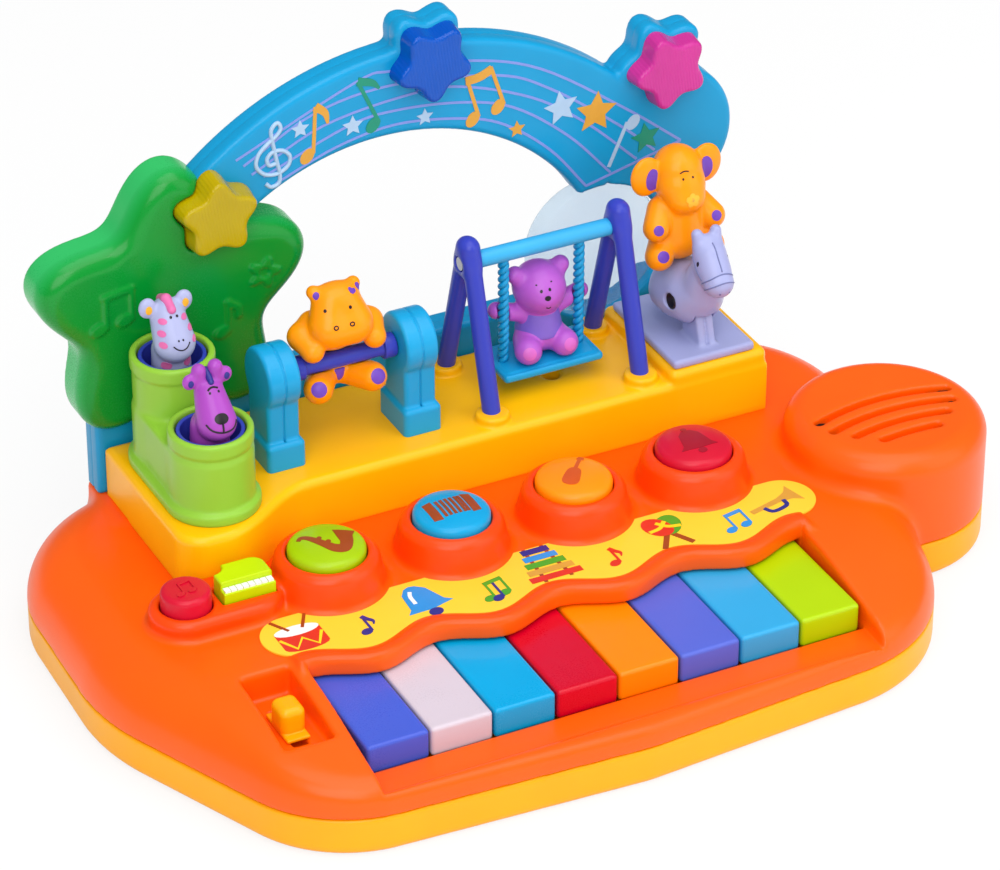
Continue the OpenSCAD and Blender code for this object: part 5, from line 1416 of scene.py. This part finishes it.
archArt = {
    "staff": [ribbon(line, 0.5) for line in staff["lines"]],
    "pale": [
        *bigNote((100.7, 143.8), (90.4, 126.8)), starLoop((-38.5, 174.7), 3.8), starLoop((-17.2, 170.9), 4.4),
        starLoop((12.4, 167.5), 3.6), starLoop((69.6, 157.6), 7.4, 97)],
    "ochre": [
        *bigNote((-35.9, 162.7), (-32.2, 182.5), (-27.3, 174.4)), *bigNote((32.3, 161.6), (29.8, 179.7)),
        *bigNote((42.9, 164.4), (39.9, 181.9)), ribbon([(29.4, 178.4), (35.0, 178.8), (40.4, 181.0)], 1.8),
        starLoop((50.9, 152.9), 3.6), starLoop((84.6, 152.0), 9.0, 84)],
    "green": [*bigNote((-8.9, 169.2), (-14.9, 188.7), (-6.1, 184.0)), starLoop((106.3, 135.8), 6.6, 97)],
}
archSlots = {"staff": "lavender", "pale": "pink_white", "ochre": "amber", "green": "star_green"}
for key, loops in archArt.items():
    lift = 0.14 if key == "staff" else 0.24  # the staff lies under the notes and stars
    piece = plates(key + "Arch", [(loop, onArch, lift) for loop in loops])
    settle(piece, "case", coats[key], archSlots[key])
clefX, clefZ = staff["clef"]
clef = [(x + clefX, arch["front"] - 0.05, z + clefZ) for x, z in smooth(staff["clefPath"])]
settle(strands("clefArch", [clef], 0.85), "case", coats["pale"], "pink_white")

# label motifs: instruments of no maker's own, spread along the strip
label = {"top": 39.6, "size": 1.25, "lift": 0.12, "layer": 0.08}
spots = {"drum": (-96, -27), "bell": (-47, -25), "maracas": (54, -26), "trumpet": (99, -26.5)}
labelSlots = {
    "signal": "red", "azure": "cyan", "sun": "amber", "leaf": "lime", "navy": "violet", "ochre": "amber",
    "chalk": "pink_white", "brown": "rubber_black",
}
labelArt = {key: [] for key in labelSlots}


def draw(key, loop, at, level=0, turn=0.0, size=1.0):
    lift = label["lift"] + label["layer"] * level
    labelArt[key].append((spun(loop, turn, at, size * label["size"]), onTop(label["top"]), lift))


drumFoot = [(7 * u, -4.6 - 2.2 * math.sqrt(1 - u * u)) for u in np.linspace(-0.9, 0.9, 9)]
drumSide = [(-7, 3.4), (-7, -4.6), *drumFoot, (7, -4.6), (7, 3.4)]
draw("signal", drumSide, spots["drum"])
draw("chalk", oval(7, 2.4, 0, (0, 3.4)), spots["drum"], 1)
draw("sun", ribbon([(-6.6, 0.4), (-3.4, -5.4), (0, -0.8), (3.4, -5.4), (6.6, 0.4)], 0.5, 1), spots["drum"], 1)
for turn in (-0.5, 0.5):
    draw("brown", [(-0.5, 4.4), (0.5, 4.4), (0.5, 11.5), (-0.5, 11.5)], spots["drum"], 2, turn)
draw("azure", bellLoop, spots["bell"], 0, 0.15, 1.2)
draw("navy", oval(1.9, 1.5, 0, (0, -6.4)), spots["bell"], 1, 0.15, 1.2)
draw("chalk", ribbon([(-2.4, -1.0), (-1.8, 2.2), (-0.8, 4.0)], 0.5), spots["bell"], 1, 0.15, 1.2)
for row, key in enumerate(("signal", "ochre", "leaf", "azure", "navy")):
    bar = 8.4 - row * 1.0
    draw(key, [(-bar, -1.3), (bar, -1.3), (bar, 1.3), (-bar, 1.3)], (4, -33 + row * 4.4), 1)
for u in (-4.2, 4.2):
    draw("brown", [(u - 0.6, -9), (u + 0.6, -9), (u * 0.7 + 0.6, 9), (u * 0.7 - 0.6, 9)], (4, -24.4))
for turn, key in ((-0.55, "leaf"), (0.5, "signal")):
    draw(key, oval(3.7, 4.9, 0, (0, 3.2)), spots["maracas"], 1, turn, 1.1)
    draw("brown", [(-0.8, -8.6), (0.8, -8.6), (0.8, -1.0), (-0.8, -1.0)], spots["maracas"], 0, turn, 1.1)
    draw("sun", ribbon([(-3.5, 3.4), (0, 2.4), (3.5, 3.4)], 0.6), spots["maracas"], 2, turn, 1.1)
horn = ribbon([(-9, 0), (-4, 0), (2, 0), (6, 0), (8.6, 0)], [1.0, 1.0, 1.1, 2.2, 4.6])
draw("ochre", horn, spots["trumpet"], 0, 0.25)
draw("navy", ribbon([(-4.5, -0.6), (-3.2, -3.6), (2.0, -3.6), (3.2, -0.8)], 0.7), spots["trumpet"], 1, 0.25)
for key, at, kind in (
        ("navy", (-73.5, -35), "flag"), ("leaf", (-24.5, -36), "pair"), ("signal", (27, -36), "flag"),
        ("azure", (76, -36), "pair"), ("navy", (-21.5, -37), "none")):
    for loop in noteLoops((0, 0), 6.4, kind):
        draw(key, loop, at, 1)
for key, jobs in labelArt.items():
    settle(plates(key + "Label", jobs), "case", coats[key], labelSlots[key])
print("printed art made")


# CAD nodes that stay
for name, paint in {
        "label_strip": "label", "lens_lamps": "white", "zebra_spring": "steel", "giraffe_spring": "steel",
        "swing_pins": "chrome", "rocker_rod": "darkSteel", "key_axle": "steel", "key_pads": "black",
        "circuit_board": "board", "button_board": "board", "speaker": "black", "battery_box": "black",
        "battery_cells": "steel", "battery_door": "tray", "case_screws": "steel"}.items():
    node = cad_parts[name]
    node.data.materials.clear()
    node.data.materials.append(paints[paint])

print("done")
